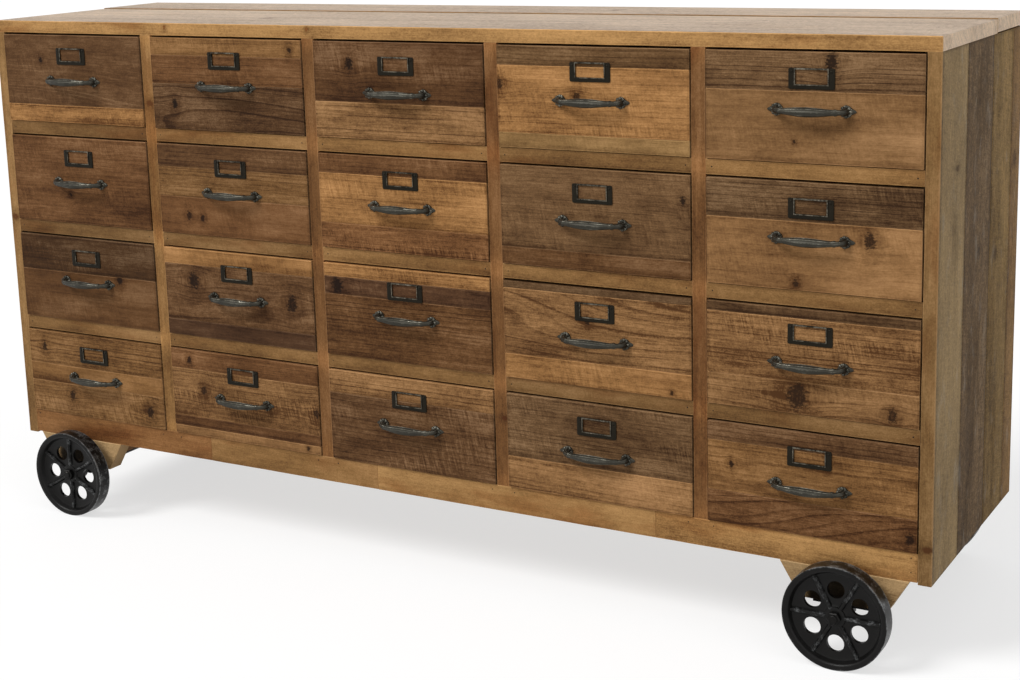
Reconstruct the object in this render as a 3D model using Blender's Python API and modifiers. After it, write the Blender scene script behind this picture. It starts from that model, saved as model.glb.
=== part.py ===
"""Rolling chest of drawers: a reclaimed-wood case with a grid of inset drawers on iron wheels.

Units are metres, +Z is up, and the drawers open towards -Y. The origin lies on the floor,
below the middle of the case.
"""

import math

import bmesh
import bpy
from mathutils import Matrix, Vector

# Drawer grid
COLUMNS = 5
ROWS = 4
OPENING_HEIGHT = 0.1525
STILE_WIDTH = 0.021
RAIL_HEIGHT = 0.0215
FRAME_DEPTH = 0.020

# Case
CASE_WIDTH = 1.650
CASE_DEPTH = 0.420
SIDE_THICKNESS = 0.019
TOP_THICKNESS = 0.020
TOP_REAR_PLANK_DEPTH = 0.148
BASE_RAIL_HEIGHT = 0.041
BOTTOM_THICKNESS = 0.016
BACK_THICKNESS = 0.010
PARTITION_THICKNESS = 0.018
RUNNER_HEIGHT = 0.016
RUNNER_BEARING = 0.010

# Drawers
DRAWER_PROUD = 0.003
DRAWER_SIDE_GAP = 0.0018
DRAWER_TOP_GAP = 0.0025
DRAWER_LIFT = 0.0010
FRONT_THICKNESS = 0.018
BOX_WALL = 0.012
BOX_FLOOR = 0.006
BOX_DROP = 0.022

# Label holders, raised on the drawer fronts
LABEL_WIDTH = 0.064
LABEL_HEIGHT = 0.028
LABEL_DROP = 0.022
LABEL_THICKNESS = 0.002
LABEL_SIDE_FLANGE = 0.0095
LABEL_FOOT_FLANGE = 0.0065
LABEL_HEAD_FLANGE = 0.002

# Bow pulls
PULL_CENTRES = 0.096
PULL_DROP = 0.0775
PULL_BOW = 0.020
PULL_BAR_RADIUS = 0.0040
PULL_POINTS = 9
ROSETTE_LENGTH = 0.028
ROSETTE_HEIGHT = 0.016
ROSETTE_THICKNESS = 0.0050
ROSETTE_TAPER = 0.75
ROSETTE_SIDES = 8

# Wheels
WHEEL_RADIUS = 0.075
WHEEL_WIDTH = 0.026
WHEEL_STANDOFF = 0.014
WHEEL_INSET = 0.123
WHEEL_STEPS = 36
RIM_THICKNESS = 0.010
WEB_THICKNESS = 0.008
WEB_RECESS = 0.010
HUB_RADIUS = 0.015
HUB_STANDOFF = 0.004
HUB_PROUD = 0.004
SPOKES = 6
SPOKE_WIDTH = 0.008
SPOKE_RISE = 0.005
HOLE_RADIUS = 0.0105
HOLE_CIRCLE = 0.039
HOLE_SIDES = 12
LEFT_WHEEL_TURN = math.radians(30)

# Axles and the wooden carriers that hold them
AXLE_RADIUS = 0.006
AXLE_SIDES = 12
AXLE_OVERHANG = 0.002
COLLAR_RADIUS = 0.011
NUT_RADIUS = 0.010
NUT_LENGTH = 0.007
FLANGE_WIDTH = 0.088
FLANGE_THICKNESS = 0.003
FLANGE_SETBACK = 0.001
SADDLE_WIDTH = 0.024
SADDLE_WALL = 0.004
PLATE_HEIGHT = 0.050
PLATE_TOP_WIDTH = 0.186
PLATE_FOOT_WIDTH = 0.126
PLATE_THICKNESS = 0.028
BEAM_WIDTH = 0.150
BEAM_DROP = 0.025
PACKER_WIDTH = 0.120

# Clearance between pieces that touch or turn in each other
GAP = 0.0003
# How far a cutter runs past the faces it cuts, and how far united shapes sink into each other
OVERCUT = 0.010
SINK = 0.002

# Heights and places that follow from the sizes above
AXLE_Z = WHEEL_RADIUS
CASE_BOTTOM = AXLE_Z + AXLE_RADIUS + GAP + PLATE_HEIGHT
GRID_BOTTOM = CASE_BOTTOM + BASE_RAIL_HEIGHT
ROW_PITCH = OPENING_HEIGHT + RAIL_HEIGHT
TOP_UNDERSIDE = GRID_BOTTOM + ROWS * OPENING_HEIGHT + (ROWS - 1) * RAIL_HEIGHT
CASE_TOP = TOP_UNDERSIDE + TOP_THICKNESS
HALF_DEPTH = CASE_DEPTH / 2
INNER_HALF_WIDTH = CASE_WIDTH / 2 - SIDE_THICKNESS
OPENING_WIDTH = (2 * INNER_HALF_WIDTH - (COLUMNS - 1) * STILE_WIDTH) / COLUMNS
COLUMN_PITCH = OPENING_WIDTH + STILE_WIDTH
FRAME_BACK = -HALF_DEPTH + FRAME_DEPTH
BACK_FACE = HALF_DEPTH - BACK_THICKNESS
RUN_RISE = DRAWER_LIFT - GAP
BOTTOM_TOP = GRID_BOTTOM + RUN_RISE
DRAWER_WIDTH = OPENING_WIDTH - 2 * DRAWER_SIDE_GAP
DRAWER_HEIGHT = OPENING_HEIGHT - DRAWER_TOP_GAP - DRAWER_LIFT
DRAWER_FRONT_Y = -HALF_DEPTH - DRAWER_PROUD
DRAWER_LENGTH = BACK_FACE - GAP - DRAWER_FRONT_Y
BOX_HEIGHT = DRAWER_HEIGHT - BOX_DROP
WHEEL_X = CASE_WIDTH / 2 - WHEEL_INSET
WEB_OUT = WHEEL_STANDOFF + WHEEL_WIDTH - WEB_RECESS
HUB_OUT = WEB_OUT + HUB_PROUD
RIM_INNER_RADIUS = WHEEL_RADIUS - RIM_THICKNESS


def column_centre(column):
    """Middle of a column of drawers, counted from 1 at the left."""
    return (column - (COLUMNS + 1) / 2) * COLUMN_PITCH


def stile_centre(stile):
    """Middle of an inner stile, counted from 1 at the left."""
    return (stile - COLUMNS / 2) * COLUMN_PITCH


def opening_bottom(row):
    """Lower edge of a row's openings, counted from 1 at the top."""
    return GRID_BOTTOM + (ROWS - row) * ROW_PITCH


def clear_scene():
    for old in list(bpy.data.objects):
        bpy.data.objects.remove(old, do_unlink=True)


def make_collection(name):
    collection = bpy.data.collections.new(name)
    bpy.context.scene.collection.children.link(collection)
    return collection


def make_material(name, colour, roughness, metallic=0.0):
    material = bpy.data.materials.new(name)
    material.use_nodes = True
    shader = material.node_tree.nodes["Principled BSDF"]
    shader.inputs["Base Color"].default_value = (*colour, 1.0)
    shader.inputs["Roughness"].default_value = roughness
    shader.inputs["Metallic"].default_value = metallic
    return material


clear_scene()
PARTS = make_collection("rolling_chest_of_drawers")
CUTTERS = make_collection("rolling_chest_cutters")
HONEY_WOOD = make_material("honey_frame_wood", (0.40, 0.23, 0.095), 0.6)
BROWN_WOOD = make_material("brown_drawer_wood", (0.24, 0.13, 0.06), 0.65)
GREY_WOOD = make_material("weathered_side_wood", (0.27, 0.20, 0.12), 0.7)
TOP_WOOD = make_material("pale_top_wood", (0.46, 0.32, 0.19), 0.65)
RAW_WOOD = make_material("raw_inner_wood", (0.34, 0.22, 0.12), 0.75)
PEWTER = make_material("blackened_pewter", (0.10, 0.095, 0.085), 0.45, 0.9)
IRON = make_material("black_cast_iron", (0.022, 0.022, 0.023), 0.5, 0.7)
STEEL = make_material("dark_axle_steel", (0.11, 0.11, 0.11), 0.45, 0.9)


def add_object(name, mesh, material=None, collection=PARTS):
    new = bpy.data.objects.new(name, mesh)
    collection.objects.link(new)
    if material is not None and not mesh.materials:
        mesh.materials.append(material)
    return new


def mesh_from(bm, name):
    bmesh.ops.recalc_face_normals(bm, faces=bm.faces)
    mesh = bpy.data.meshes.new(name)
    bm.to_mesh(mesh)
    bm.free()
    return mesh


def box(name, low, high, material=None):
    """A closed block between two corners."""
    bm = bmesh.new()
    bmesh.ops.create_cube(bm, size=1.0)
    low = Vector(low)
    high = Vector(high)
    for vert in bm.verts:
        vert.co = Vector(a + (c + 0.5) * (b - a) for a, b, c in zip(low, high, vert.co))
    return add_object(name, mesh_from(bm, name), material)


def rod_along_y(name, radius, start, end, sides):
    """A closed round bar on the Y axis with a flat side underneath."""
    bm = bmesh.new()
    turn = Matrix.Rotation(math.pi / sides, 4, "Z")
    lay = Matrix.Rotation(math.pi / 2, 4, "X")
    place = Matrix.Translation((0, (start + end) / 2, 0))
    bmesh.ops.create_cone(bm, cap_ends=True, segments=sides, radius1=radius, radius2=radius,
                          depth=abs(end - start), matrix=place @ lay @ turn)
    return add_object(name, mesh_from(bm, name))


def as_cutter(tool):
    """Hide a shape that only cuts or joins other shapes."""
    PARTS.objects.unlink(tool)
    CUTTERS.objects.link(tool)
    tool.hide_render = True
    tool.display_type = "WIRE"
    return tool


def combine(target, tool, operation):
    """Join a tool to a piece, or cut it out, with an exact Boolean."""
    modifier = target.modifiers.new(f"{operation.lower()}_{tool.name}", "BOOLEAN")
    modifier.operation = operation
    modifier.solver = "EXACT"
    modifier.object = as_cutter(tool)


def plain_mesh(source, name):
    """The evaluated mesh of an object, welded; the object and its tools are removed."""
    tools = [m.object for m in source.modifiers if m.type == "BOOLEAN"]
    graph = bpy.context.evaluated_depsgraph_get()
    mesh = bpy.data.meshes.new_from_object(source.evaluated_get(graph))
    mesh.name = name
    bm = bmesh.new()
    bm.from_mesh(mesh)
    bmesh.ops.remove_doubles(bm, verts=bm.verts, dist=0.00001)
    bmesh.ops.transform(bm, matrix=source.matrix_world, verts=bm.verts)
    bm.to_mesh(mesh)
    bm.free()
    for used in [source, *tools]:
        bpy.data.objects.remove(used, do_unlink=True)
    return mesh


def smooth(mesh, angle=math.radians(35)):
    mesh.shade_smooth()
    mesh.set_sharp_from_angle(angle=angle)


def build_top():
    seam = HALF_DEPTH - TOP_REAR_PLANK_DEPTH
    half = CASE_WIDTH / 2
    box("top_front_plank", (-half, -HALF_DEPTH, TOP_UNDERSIDE), (half, seam - GAP, CASE_TOP), TOP_WOOD)
    box("top_rear_plank", (-half, seam, TOP_UNDERSIDE), (half, HALF_DEPTH, CASE_TOP), TOP_WOOD)


def runner_levels():
    """Tops of the runner strips; the lowest row runs on the bottom panel."""
    return [opening_bottom(row) + RUN_RISE for row in range(1, ROWS)]


def add_runners(panel, face, outward, reach):
    """Join runner strips to one face of an upright panel, for the rows above the lowest."""
    inner = face - outward * SINK
    outer = face + outward * reach
    for level in runner_levels():
        strip = box(f"{panel.name}_runner", (min(inner, outer), FRAME_BACK + GAP, level - RUNNER_HEIGHT),
                    (max(inner, outer), BACK_FACE - GAP, level))
        combine(panel, strip, "UNION")


def build_sides():
    outer = CASE_WIDTH / 2
    reach = DRAWER_SIDE_GAP + RUNNER_BEARING
    for name, side in (("left_side_panel", -1), ("right_side_panel", 1)):
        edges = sorted((side * outer, side * INNER_HALF_WIDTH))
        panel = box(name, (edges[0], -HALF_DEPTH, CASE_BOTTOM),
                    (edges[1], HALF_DEPTH, TOP_UNDERSIDE - GAP), GREY_WOOD)
        add_runners(panel, side * INNER_HALF_WIDTH, -side, reach)


def build_partitions():
    half = PARTITION_THICKNESS / 2
    reach = (STILE_WIDTH - PARTITION_THICKNESS) / 2 + DRAWER_SIDE_GAP + RUNNER_BEARING
    for stile in range(1, COLUMNS):
        x = stile_centre(stile)
        panel = box(f"partition_{stile}", (x - half, FRAME_BACK + GAP, BOTTOM_TOP + GAP),
                    (x + half, BACK_FACE - GAP, TOP_UNDERSIDE - GAP), RAW_WOOD)
        add_runners(panel, x - half, -1, reach)
        add_runners(panel, x + half, 1, reach)


def build_back_and_bottom():
    half = INNER_HALF_WIDTH - GAP
    box("back_panel", (-half, BACK_FACE, CASE_BOTTOM), (half, HALF_DEPTH, TOP_UNDERSIDE - GAP), RAW_WOOD)
    box("bottom_panel", (-half, FRAME_BACK + GAP, BOTTOM_TOP - BOTTOM_THICKNESS),
        (half, BACK_FACE - GAP, BOTTOM_TOP), RAW_WOOD)


def build_front():
    """Base rail, and above it the glued grid of stiles and rails."""
    half = INNER_HALF_WIDTH - GAP
    box("base_rail", (-half, -HALF_DEPTH, CASE_BOTTOM), (half, FRAME_BACK, GRID_BOTTOM), HONEY_WOOD)
    frame = box("face_frame", (-half, -HALF_DEPTH, GRID_BOTTOM + GAP),
                (half, FRAME_BACK, TOP_UNDERSIDE - GAP), HONEY_WOOD)
    for column in range(1, COLUMNS + 1):
        left = column_centre(column) - OPENING_WIDTH / 2
        right = column_centre(column) + OPENING_WIDTH / 2
        if column == 1:
            left -= OVERCUT
        if column == COLUMNS:
            right += OVERCUT
        for row in range(1, ROWS + 1):
            low = opening_bottom(row)
            high = low + OPENING_HEIGHT
            if row == ROWS:
                low -= OVERCUT
            if row == 1:
                high += OVERCUT
            hole = box("drawer_opening", (left, -HALF_DEPTH - OVERCUT, low),
                       (right, FRAME_BACK + OVERCUT, high))
            combine(frame, hole, "DIFFERENCE")


def drawer_mesh():
    """One drawer: front, sides, back and floor, with the label holder raised on its front.

    Its origin is the middle of the front face's lower edge.
    """
    half = DRAWER_WIDTH / 2
    drawer = box("drawer", (-half, 0, 0), (half, DRAWER_LENGTH, DRAWER_HEIGHT), BROWN_WOOD)
    step = box("drawer_step", (-half - OVERCUT, FRONT_THICKNESS, BOX_HEIGHT),
               (half + OVERCUT, DRAWER_LENGTH + OVERCUT, DRAWER_HEIGHT + OVERCUT))
    room = box("drawer_room", (BOX_WALL - half, FRONT_THICKNESS, BOX_FLOOR),
               (half - BOX_WALL, DRAWER_LENGTH - BOX_WALL, BOX_HEIGHT + OVERCUT))
    combine(drawer, step, "DIFFERENCE")
    combine(drawer, room, "DIFFERENCE")

    head = DRAWER_HEIGHT - LABEL_DROP
    foot = head - LABEL_HEIGHT
    holder = box("label_holder", (-LABEL_WIDTH / 2, -LABEL_THICKNESS, foot), (LABEL_WIDTH / 2, SINK, head))
    window = box("label_window", (LABEL_SIDE_FLANGE - LABEL_WIDTH / 2, -OVERCUT, foot + LABEL_FOOT_FLANGE),
                 (LABEL_WIDTH / 2 - LABEL_SIDE_FLANGE, OVERCUT, head - LABEL_HEAD_FLANGE))
    combine(holder, window, "DIFFERENCE")
    ring = add_object("label_ring", plain_mesh(holder, "label_ring"))
    combine(drawer, ring, "UNION")
    return plain_mesh(drawer, "drawer")


def pull_bar():
    """The bowed bar: a tube that leaves one rosette, arches out and returns to the other."""
    curve = bpy.data.curves.new("pull_bar", "CURVE")
    curve.dimensions = "3D"
    curve.bevel_depth = PULL_BAR_RADIUS
    curve.bevel_resolution = 1
    curve.use_fill_caps = True
    spline = curve.splines.new("POLY")
    spline.points.add(PULL_POINTS - 1)
    for index, point in enumerate(spline.points):
        angle = math.pi * index / (PULL_POINTS - 1)
        rise = PULL_BOW * math.sin(angle) ** 0.6 if 0 < index < PULL_POINTS - 1 else 0.0
        point.co = (-PULL_CENTRES / 2 * math.cos(angle), -SINK - GAP - rise, 0, 1)
        point.radius = 0.85 + 0.25 * math.sin(angle)
    return add_object("pull_bar", curve)


def pull_mesh():
    """One bow pull with a domed rosette at each end; its origin is its middle, on the drawer face."""
    bar = pull_bar()
    pull = add_object("pull", plain_mesh(bar, "pull_bar"), PEWTER)
    lay = Matrix.Rotation(math.pi / 2, 4, "X")
    for side in (-1, 1):
        bm = bmesh.new()
        place = Matrix.Translation((side * PULL_CENTRES / 2, -GAP - ROSETTE_THICKNESS / 2, 0))
        stretch = Matrix.Diagonal((ROSETTE_LENGTH / 2, 1, ROSETTE_HEIGHT / 2, 1))
        bmesh.ops.create_cone(bm, cap_ends=True, segments=ROSETTE_SIDES, radius1=1, radius2=ROSETTE_TAPER,
                              depth=ROSETTE_THICKNESS, matrix=place @ stretch @ lay)
        rosette = add_object("pull_rosette", mesh_from(bm, "pull_rosette"))
        combine(pull, rosette, "UNION")
    mesh = plain_mesh(pull, "pull")
    smooth(mesh)
    return mesh


def build_drawers():
    shared_drawer = drawer_mesh()
    shared_pull = pull_mesh()
    for row in range(1, ROWS + 1):
        for column in range(1, COLUMNS + 1):
            drawer = add_object(f"drawer_r{row}_c{column}", shared_drawer, BROWN_WOOD)
            drawer.location = (column_centre(column), DRAWER_FRONT_Y, opening_bottom(row) + DRAWER_LIFT)
            pull = add_object(f"pull_r{row}_c{column}", shared_pull, PEWTER)
            pull.parent = drawer
            pull.location = (0, 0, DRAWER_HEIGHT - PULL_DROP)


def wheel_profile():
    """Section of the wheel as (radius, distance out from the case), down its outer side first."""
    bore = AXLE_RADIUS + GAP
    inner = WHEEL_STANDOFF
    outer = WHEEL_STANDOFF + WHEEL_WIDTH
    web_in = WEB_OUT - WEB_THICKNESS
    # A flat of the tread, not one of its corners, stands WHEEL_RADIUS below the axle.
    tread = WHEEL_RADIUS / math.cos(math.pi / WHEEL_STEPS)
    return [
        (tread, outer), (tread, inner), (RIM_INNER_RADIUS, inner), (RIM_INNER_RADIUS, web_in),
        (HUB_RADIUS, web_in), (HUB_RADIUS, HUB_STANDOFF), (bore, HUB_STANDOFF), (bore, HUB_OUT),
        (HUB_RADIUS, HUB_OUT), (HUB_RADIUS, WEB_OUT), (RIM_INNER_RADIUS, WEB_OUT), (RIM_INNER_RADIUS, outer),
    ]


def turned_wheel():
    mesh = bpy.data.meshes.new("wheel_profile")
    half_step = Matrix.Rotation(math.pi / WHEEL_STEPS, 4, "Z")
    points = [half_step @ Vector((radius, 0, out)) for radius, out in wheel_profile()]
    edges = [(i, (i + 1) % len(points)) for i in range(len(points))]
    mesh.from_pydata(points, edges, [])
    wheel = add_object("wheel_turned", mesh)
    screw = wheel.modifiers.new("turn", "SCREW")
    screw.axis = "Z"
    screw.angle = 2 * math.pi
    screw.steps = WHEEL_STEPS
    screw.render_steps = WHEEL_STEPS
    screw.use_merge_vertices = True
    screw.merge_threshold = 0.0001
    return wheel


def wheel_mesh():
    """One cast wheel with its axis along Z; its origin is on the axle, level with the case's face."""
    wheel = add_object("wheel", plain_mesh(turned_wheel(), "wheel_turned"), IRON)
    for spoke in range(SPOKES):
        angle = 2 * math.pi * spoke / SPOKES
        rib = box("wheel_rib", (HUB_RADIUS - SINK, -SPOKE_WIDTH / 2, WEB_OUT - SINK),
                  (RIM_INNER_RADIUS + SINK, SPOKE_WIDTH / 2, WEB_OUT + SPOKE_RISE))
        rib.data.transform(Matrix.Rotation(angle, 4, "Z"))
        combine(wheel, rib, "UNION")
    for spoke in range(SPOKES):
        angle = 2 * math.pi * (spoke + 0.5) / SPOKES
        bm = bmesh.new()
        place = Matrix.Translation((HOLE_CIRCLE * math.cos(angle), HOLE_CIRCLE * math.sin(angle), WEB_OUT))
        bmesh.ops.create_cone(bm, cap_ends=True, segments=HOLE_SIDES, radius1=HOLE_RADIUS,
                              radius2=HOLE_RADIUS, depth=2 * (WEB_THICKNESS + OVERCUT), matrix=place)
        combine(wheel, add_object("wheel_hole", mesh_from(bm, "wheel_hole")), "DIFFERENCE")
    mesh = plain_mesh(wheel, "wheel")
    smooth(mesh)
    return mesh


def build_wheels():
    shared = wheel_mesh()
    for end, half_turn in (("front", 0.0), ("rear", math.pi)):
        for side_name, side, turn in (("left", -1, LEFT_WHEEL_TURN), ("right", 1, 0.0)):
            wheel = add_object(f"wheel_{end}_{side_name}", shared, IRON)
            face = -HALF_DEPTH if end == "front" else HALF_DEPTH
            wheel.location = (side * WHEEL_X, face, AXLE_Z)
            wheel.rotation_euler = (math.pi / 2, turn, half_turn)


def axle_mesh():
    """One axle: a rod with end nuts and collars, welded to a flanged saddle under each plate."""
    nut_start = HALF_DEPTH + HUB_OUT + GAP
    reach = nut_start + NUT_LENGTH + AXLE_OVERHANG
    axle = rod_along_y("axle", AXLE_RADIUS, -reach, reach, AXLE_SIDES)
    flange_top = AXLE_RADIUS
    for end in (-1, 1):
        near = end * (HALF_DEPTH - FLANGE_SETBACK)
        far = end * (HALF_DEPTH - PLATE_THICKNESS + FLANGE_SETBACK)
        flange = box("axle_flange", (-FLANGE_WIDTH / 2, min(near, far), flange_top - FLANGE_THICKNESS),
                     (FLANGE_WIDTH / 2, max(near, far), flange_top))
        saddle_near = near - end * SADDLE_WALL
        saddle_far = far + end * SADDLE_WALL
        saddle = box("axle_saddle",
                     (-SADDLE_WIDTH / 2, min(saddle_near, saddle_far), -AXLE_RADIUS - SADDLE_WALL),
                     (SADDLE_WIDTH / 2, max(saddle_near, saddle_far), flange_top - FLANGE_THICKNESS / 2))
        collar = rod_along_y("axle_collar", COLLAR_RADIUS, end * (HALF_DEPTH + GAP),
                             end * (HALF_DEPTH + HUB_STANDOFF - GAP), AXLE_SIDES)
        nut = rod_along_y("axle_nut", NUT_RADIUS, end * nut_start, end * (nut_start + NUT_LENGTH), 6)
        for tool in (flange, saddle, collar, nut):
            combine(axle, tool, "UNION")
    return plain_mesh(axle, "axle")


def trapezoid_plate(middle_y):
    """A carrier plate: a flat outline, wide under the case and narrow at the axle, given its thickness."""
    curve = bpy.data.curves.new("carrier_plate", "CURVE")
    curve.dimensions = "2D"
    curve.fill_mode = "BOTH"
    curve.extrude = PLATE_THICKNESS / 2
    top = CASE_BOTTOM - GAP
    foot = CASE_BOTTOM - PLATE_HEIGHT
    corners = [
        (-PLATE_TOP_WIDTH / 2, top), (PLATE_TOP_WIDTH / 2, top),
        (PLATE_FOOT_WIDTH / 2, foot), (-PLATE_FOOT_WIDTH / 2, foot),
    ]
    spline = curve.splines.new("POLY")
    spline.points.add(len(corners) - 1)
    for point, (x, z) in zip(spline.points, corners):
        point.co = (x, z, 0, 1)
    spline.use_cyclic_u = True
    plate = add_object("carrier_plate", curve)
    plate.rotation_euler = (math.pi / 2, 0, 0)
    plate.location = (0, middle_y, 0)
    bpy.context.view_layer.update()
    return add_object("carrier_plate", plain_mesh(plate, "carrier_plate"))


def carrier_mesh():
    """One axle carrier: a beam across the depth, a plate at each end and a packer up to the bottom panel."""
    reach = HALF_DEPTH - PLATE_THICKNESS / 2
    beam = box("carrier_beam", (-BEAM_WIDTH / 2, -reach, CASE_BOTTOM - BEAM_DROP),
               (BEAM_WIDTH / 2, reach, CASE_BOTTOM - SINK), HONEY_WOOD)
    packer = box("carrier_packer", (-PACKER_WIDTH / 2, FRAME_BACK + GAP, CASE_BOTTOM - BEAM_DROP / 2),
                 (PACKER_WIDTH / 2, BACK_FACE - GAP, BOTTOM_TOP - BOTTOM_THICKNESS - GAP))
    combine(beam, packer, "UNION")
    for end in (-1, 1):
        combine(beam, trapezoid_plate(end * (HALF_DEPTH - PLATE_THICKNESS / 2)), "UNION")
    return plain_mesh(beam, "axle_carrier")


def build_running_gear():
    shared_carrier = carrier_mesh()
    shared_axle = axle_mesh()
    smooth(shared_axle)
    for name, side in (("left", -1), ("right", 1)):
        carrier = add_object(f"{name}_axle_carrier", shared_carrier, HONEY_WOOD)
        carrier.location = (side * WHEEL_X, 0, 0)
        axle = add_object(f"{name}_axle", shared_axle, STEEL)
        axle.location = (side * WHEEL_X, 0, AXLE_Z)


def main():
    build_top()
    build_sides()
    build_back_and_bottom()
    build_partitions()
    build_front()
    build_drawers()
    build_running_gear()
    build_wheels()
    bpy.context.view_layer.update()


main()
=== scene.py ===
"""Looks of the rolling chest of drawers: reclaimed boards, bow pulls, label holders and iron wheels.

Laid out as a Blender add-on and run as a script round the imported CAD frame. Lengths are metres, +Z is
up and the drawers open towards -Y.
"""

import math
import random
from collections import namedtuple

import bmesh
import bpy
from bpy.props import FloatProperty, FloatVectorProperty, IntProperty, PointerProperty
from mathutils import Euler, Matrix, Vector, noise


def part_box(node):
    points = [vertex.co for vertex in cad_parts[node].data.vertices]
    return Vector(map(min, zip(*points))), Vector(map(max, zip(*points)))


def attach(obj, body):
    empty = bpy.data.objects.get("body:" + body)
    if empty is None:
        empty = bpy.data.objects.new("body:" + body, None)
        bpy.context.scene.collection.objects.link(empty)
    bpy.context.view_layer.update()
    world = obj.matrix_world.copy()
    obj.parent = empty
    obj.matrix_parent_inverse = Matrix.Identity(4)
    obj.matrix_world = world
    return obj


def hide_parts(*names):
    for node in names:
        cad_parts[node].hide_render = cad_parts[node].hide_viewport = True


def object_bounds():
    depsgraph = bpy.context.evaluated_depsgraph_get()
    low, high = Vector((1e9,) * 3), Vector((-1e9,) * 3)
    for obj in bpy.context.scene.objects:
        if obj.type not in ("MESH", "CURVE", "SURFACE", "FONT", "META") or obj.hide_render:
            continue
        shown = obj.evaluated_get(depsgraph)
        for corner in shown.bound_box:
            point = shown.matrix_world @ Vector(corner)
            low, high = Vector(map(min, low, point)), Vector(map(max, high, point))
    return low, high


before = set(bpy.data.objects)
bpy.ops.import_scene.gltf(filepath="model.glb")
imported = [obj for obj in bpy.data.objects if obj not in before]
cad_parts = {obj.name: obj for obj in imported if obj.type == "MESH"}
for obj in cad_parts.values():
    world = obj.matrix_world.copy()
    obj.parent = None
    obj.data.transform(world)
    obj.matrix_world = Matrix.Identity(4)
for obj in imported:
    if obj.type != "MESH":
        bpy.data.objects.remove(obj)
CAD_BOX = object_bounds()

bl_info = {
    "name": "Rolling chest of drawers",
    "version": (1, 0, 0),
    "blender": (4, 5, 0),
    "location": "3D View > Sidebar > Chest",
    "description": "Dresses the rolling chest of drawers in boards, ironwork and a studio",
    "category": "Add Mesh",
}

# Places this near are one place, and edges that turn more than this angle are corners
NEAR = 1e-6
SHARP = 1.0

# The grid of drawers, and the clearances that its CAD pieces were made with
ROWS = 4
COLUMNS = 5
SIDE_CLEARANCE = 0.0018
HEAD_CLEARANCE = 0.0025
LIFT = 0.0010
RUN_GAP = 0.0003
LABEL_THICKNESS = 0.002
FRONT_THICKNESS = 0.018
BOX_WALL = 0.012
BOX_FLOOR = 0.006
BOX_DROP = 0.022
RUNNER_HEIGHT = 0.016
RUNNER_BEARING = 0.010
PARTITION_THICKNESS = 0.018

# Boards of the case that the frame's boxes give
X, Y, Z = range(3)
TOP_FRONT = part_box("top_front_plank")
TOP_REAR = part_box("top_rear_plank")
BASE_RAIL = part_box("base_rail")
FACE_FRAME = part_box("face_frame")
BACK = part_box("back_panel")
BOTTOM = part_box("bottom_panel")
SIDE_FACE = BASE_RAIL[1].x + RUN_GAP
CASE_FRONT = BASE_RAIL[0].y
DRAWER_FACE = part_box("drawer_r1_c1")[0].y + LABEL_THICKNESS


def linear(code):
    """A colour as the renderer takes it, from six hex digits as seen on a screen."""
    parts = [int(code[i:i + 2], 16) / 255 for i in (0, 2, 4)]
    return tuple(c / 12.92 if c <= 0.04045 else ((c + 0.055) / 1.055) ** 2.4 for c in parts)


def tone(name, description, code):
    return FloatVectorProperty(name=name, description=description, default=linear(code), size=3,
                               min=0.0, max=1.0, subtype="COLOR")


def length(name, description, default):
    return FloatProperty(name=name, description=description, default=default, min=0.0,
                         subtype="DISTANCE", unit="LENGTH", precision=5)


def level(name, description, default):
    return FloatProperty(name=name, description=description, default=default, min=0.0)


class ChestWoodTones(bpy.types.PropertyGroup):
    """Colours of the boards before grain, stain and wear"""

    rail: tone("Rail honey", "Rails of the face frame", "89653b")
    stile: tone("Stile honey", "Upright stiles of the face frame", "75502d")
    base: tone("Base honey", "Base rail and axle carriers", "936f43")
    honey: tone("Honey", "Warm golden planks of the drawer fronts", "966c40")
    light_honey: tone("Light honey", "Palest planks of the drawer fronts", "9a774a")
    tan: tone("Tan", "Even tan planks of the drawer fronts", "8a653f")
    brown: tone("Brown", "Middle brown planks of the drawer fronts", "775130")
    red_brown: tone("Red brown", "Reddish planks of the drawer fronts", "674628")
    dark_brown: tone("Dark brown", "Dark planks of the drawer fronts", "5f4228")
    grey_brown: tone("Grey brown", "Weathered planks of the drawer fronts", "6f5235")
    charcoal: tone("Charcoal", "Darkest stained planks", "4d3421")
    top: tone("Pale top", "Worn pale boards of the top", "bba691")
    side_beige: tone("Beige side", "Palest boards of the side panels", "917a57")
    side_dark: tone("Dark side", "Darkest boards of the side panels", "634e35")
    side_olive: tone("Olive side", "Olive brown boards of the side panels", "81673e")
    side_tan: tone("Tan side", "Warm boards of the side panels", "82643e")
    raw: tone("Raw wood", "Unfinished boards inside the case and under it", "a5875f")
    backing: tone("Backing", "Boards of the back panel", "8d7454")


class ChestMetalTones(bpy.types.PropertyGroup):
    """Colours of the ironwork"""

    pewter: tone("Pewter", "Blackened metal of the pulls", "35332c")
    pewter_worn: tone("Worn pewter", "Rubbed ridges of the pulls", "838074")
    label: tone("Label iron", "Metal of the label holders", "1b170e")
    label_worn: tone("Worn label iron", "Rubbed lips of the label holders", "777062")
    cast: tone("Cast iron", "Painted casting of the wheels", "11100f")
    cast_worn: tone("Worn cast iron", "Bare iron on the wheels' edges", "7d7f80")
    steel: tone("Axle steel", "Axles, nuts and nails", "191817")
    steel_worn: tone("Worn steel", "Bright corners of the nuts", "423f3b")


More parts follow.
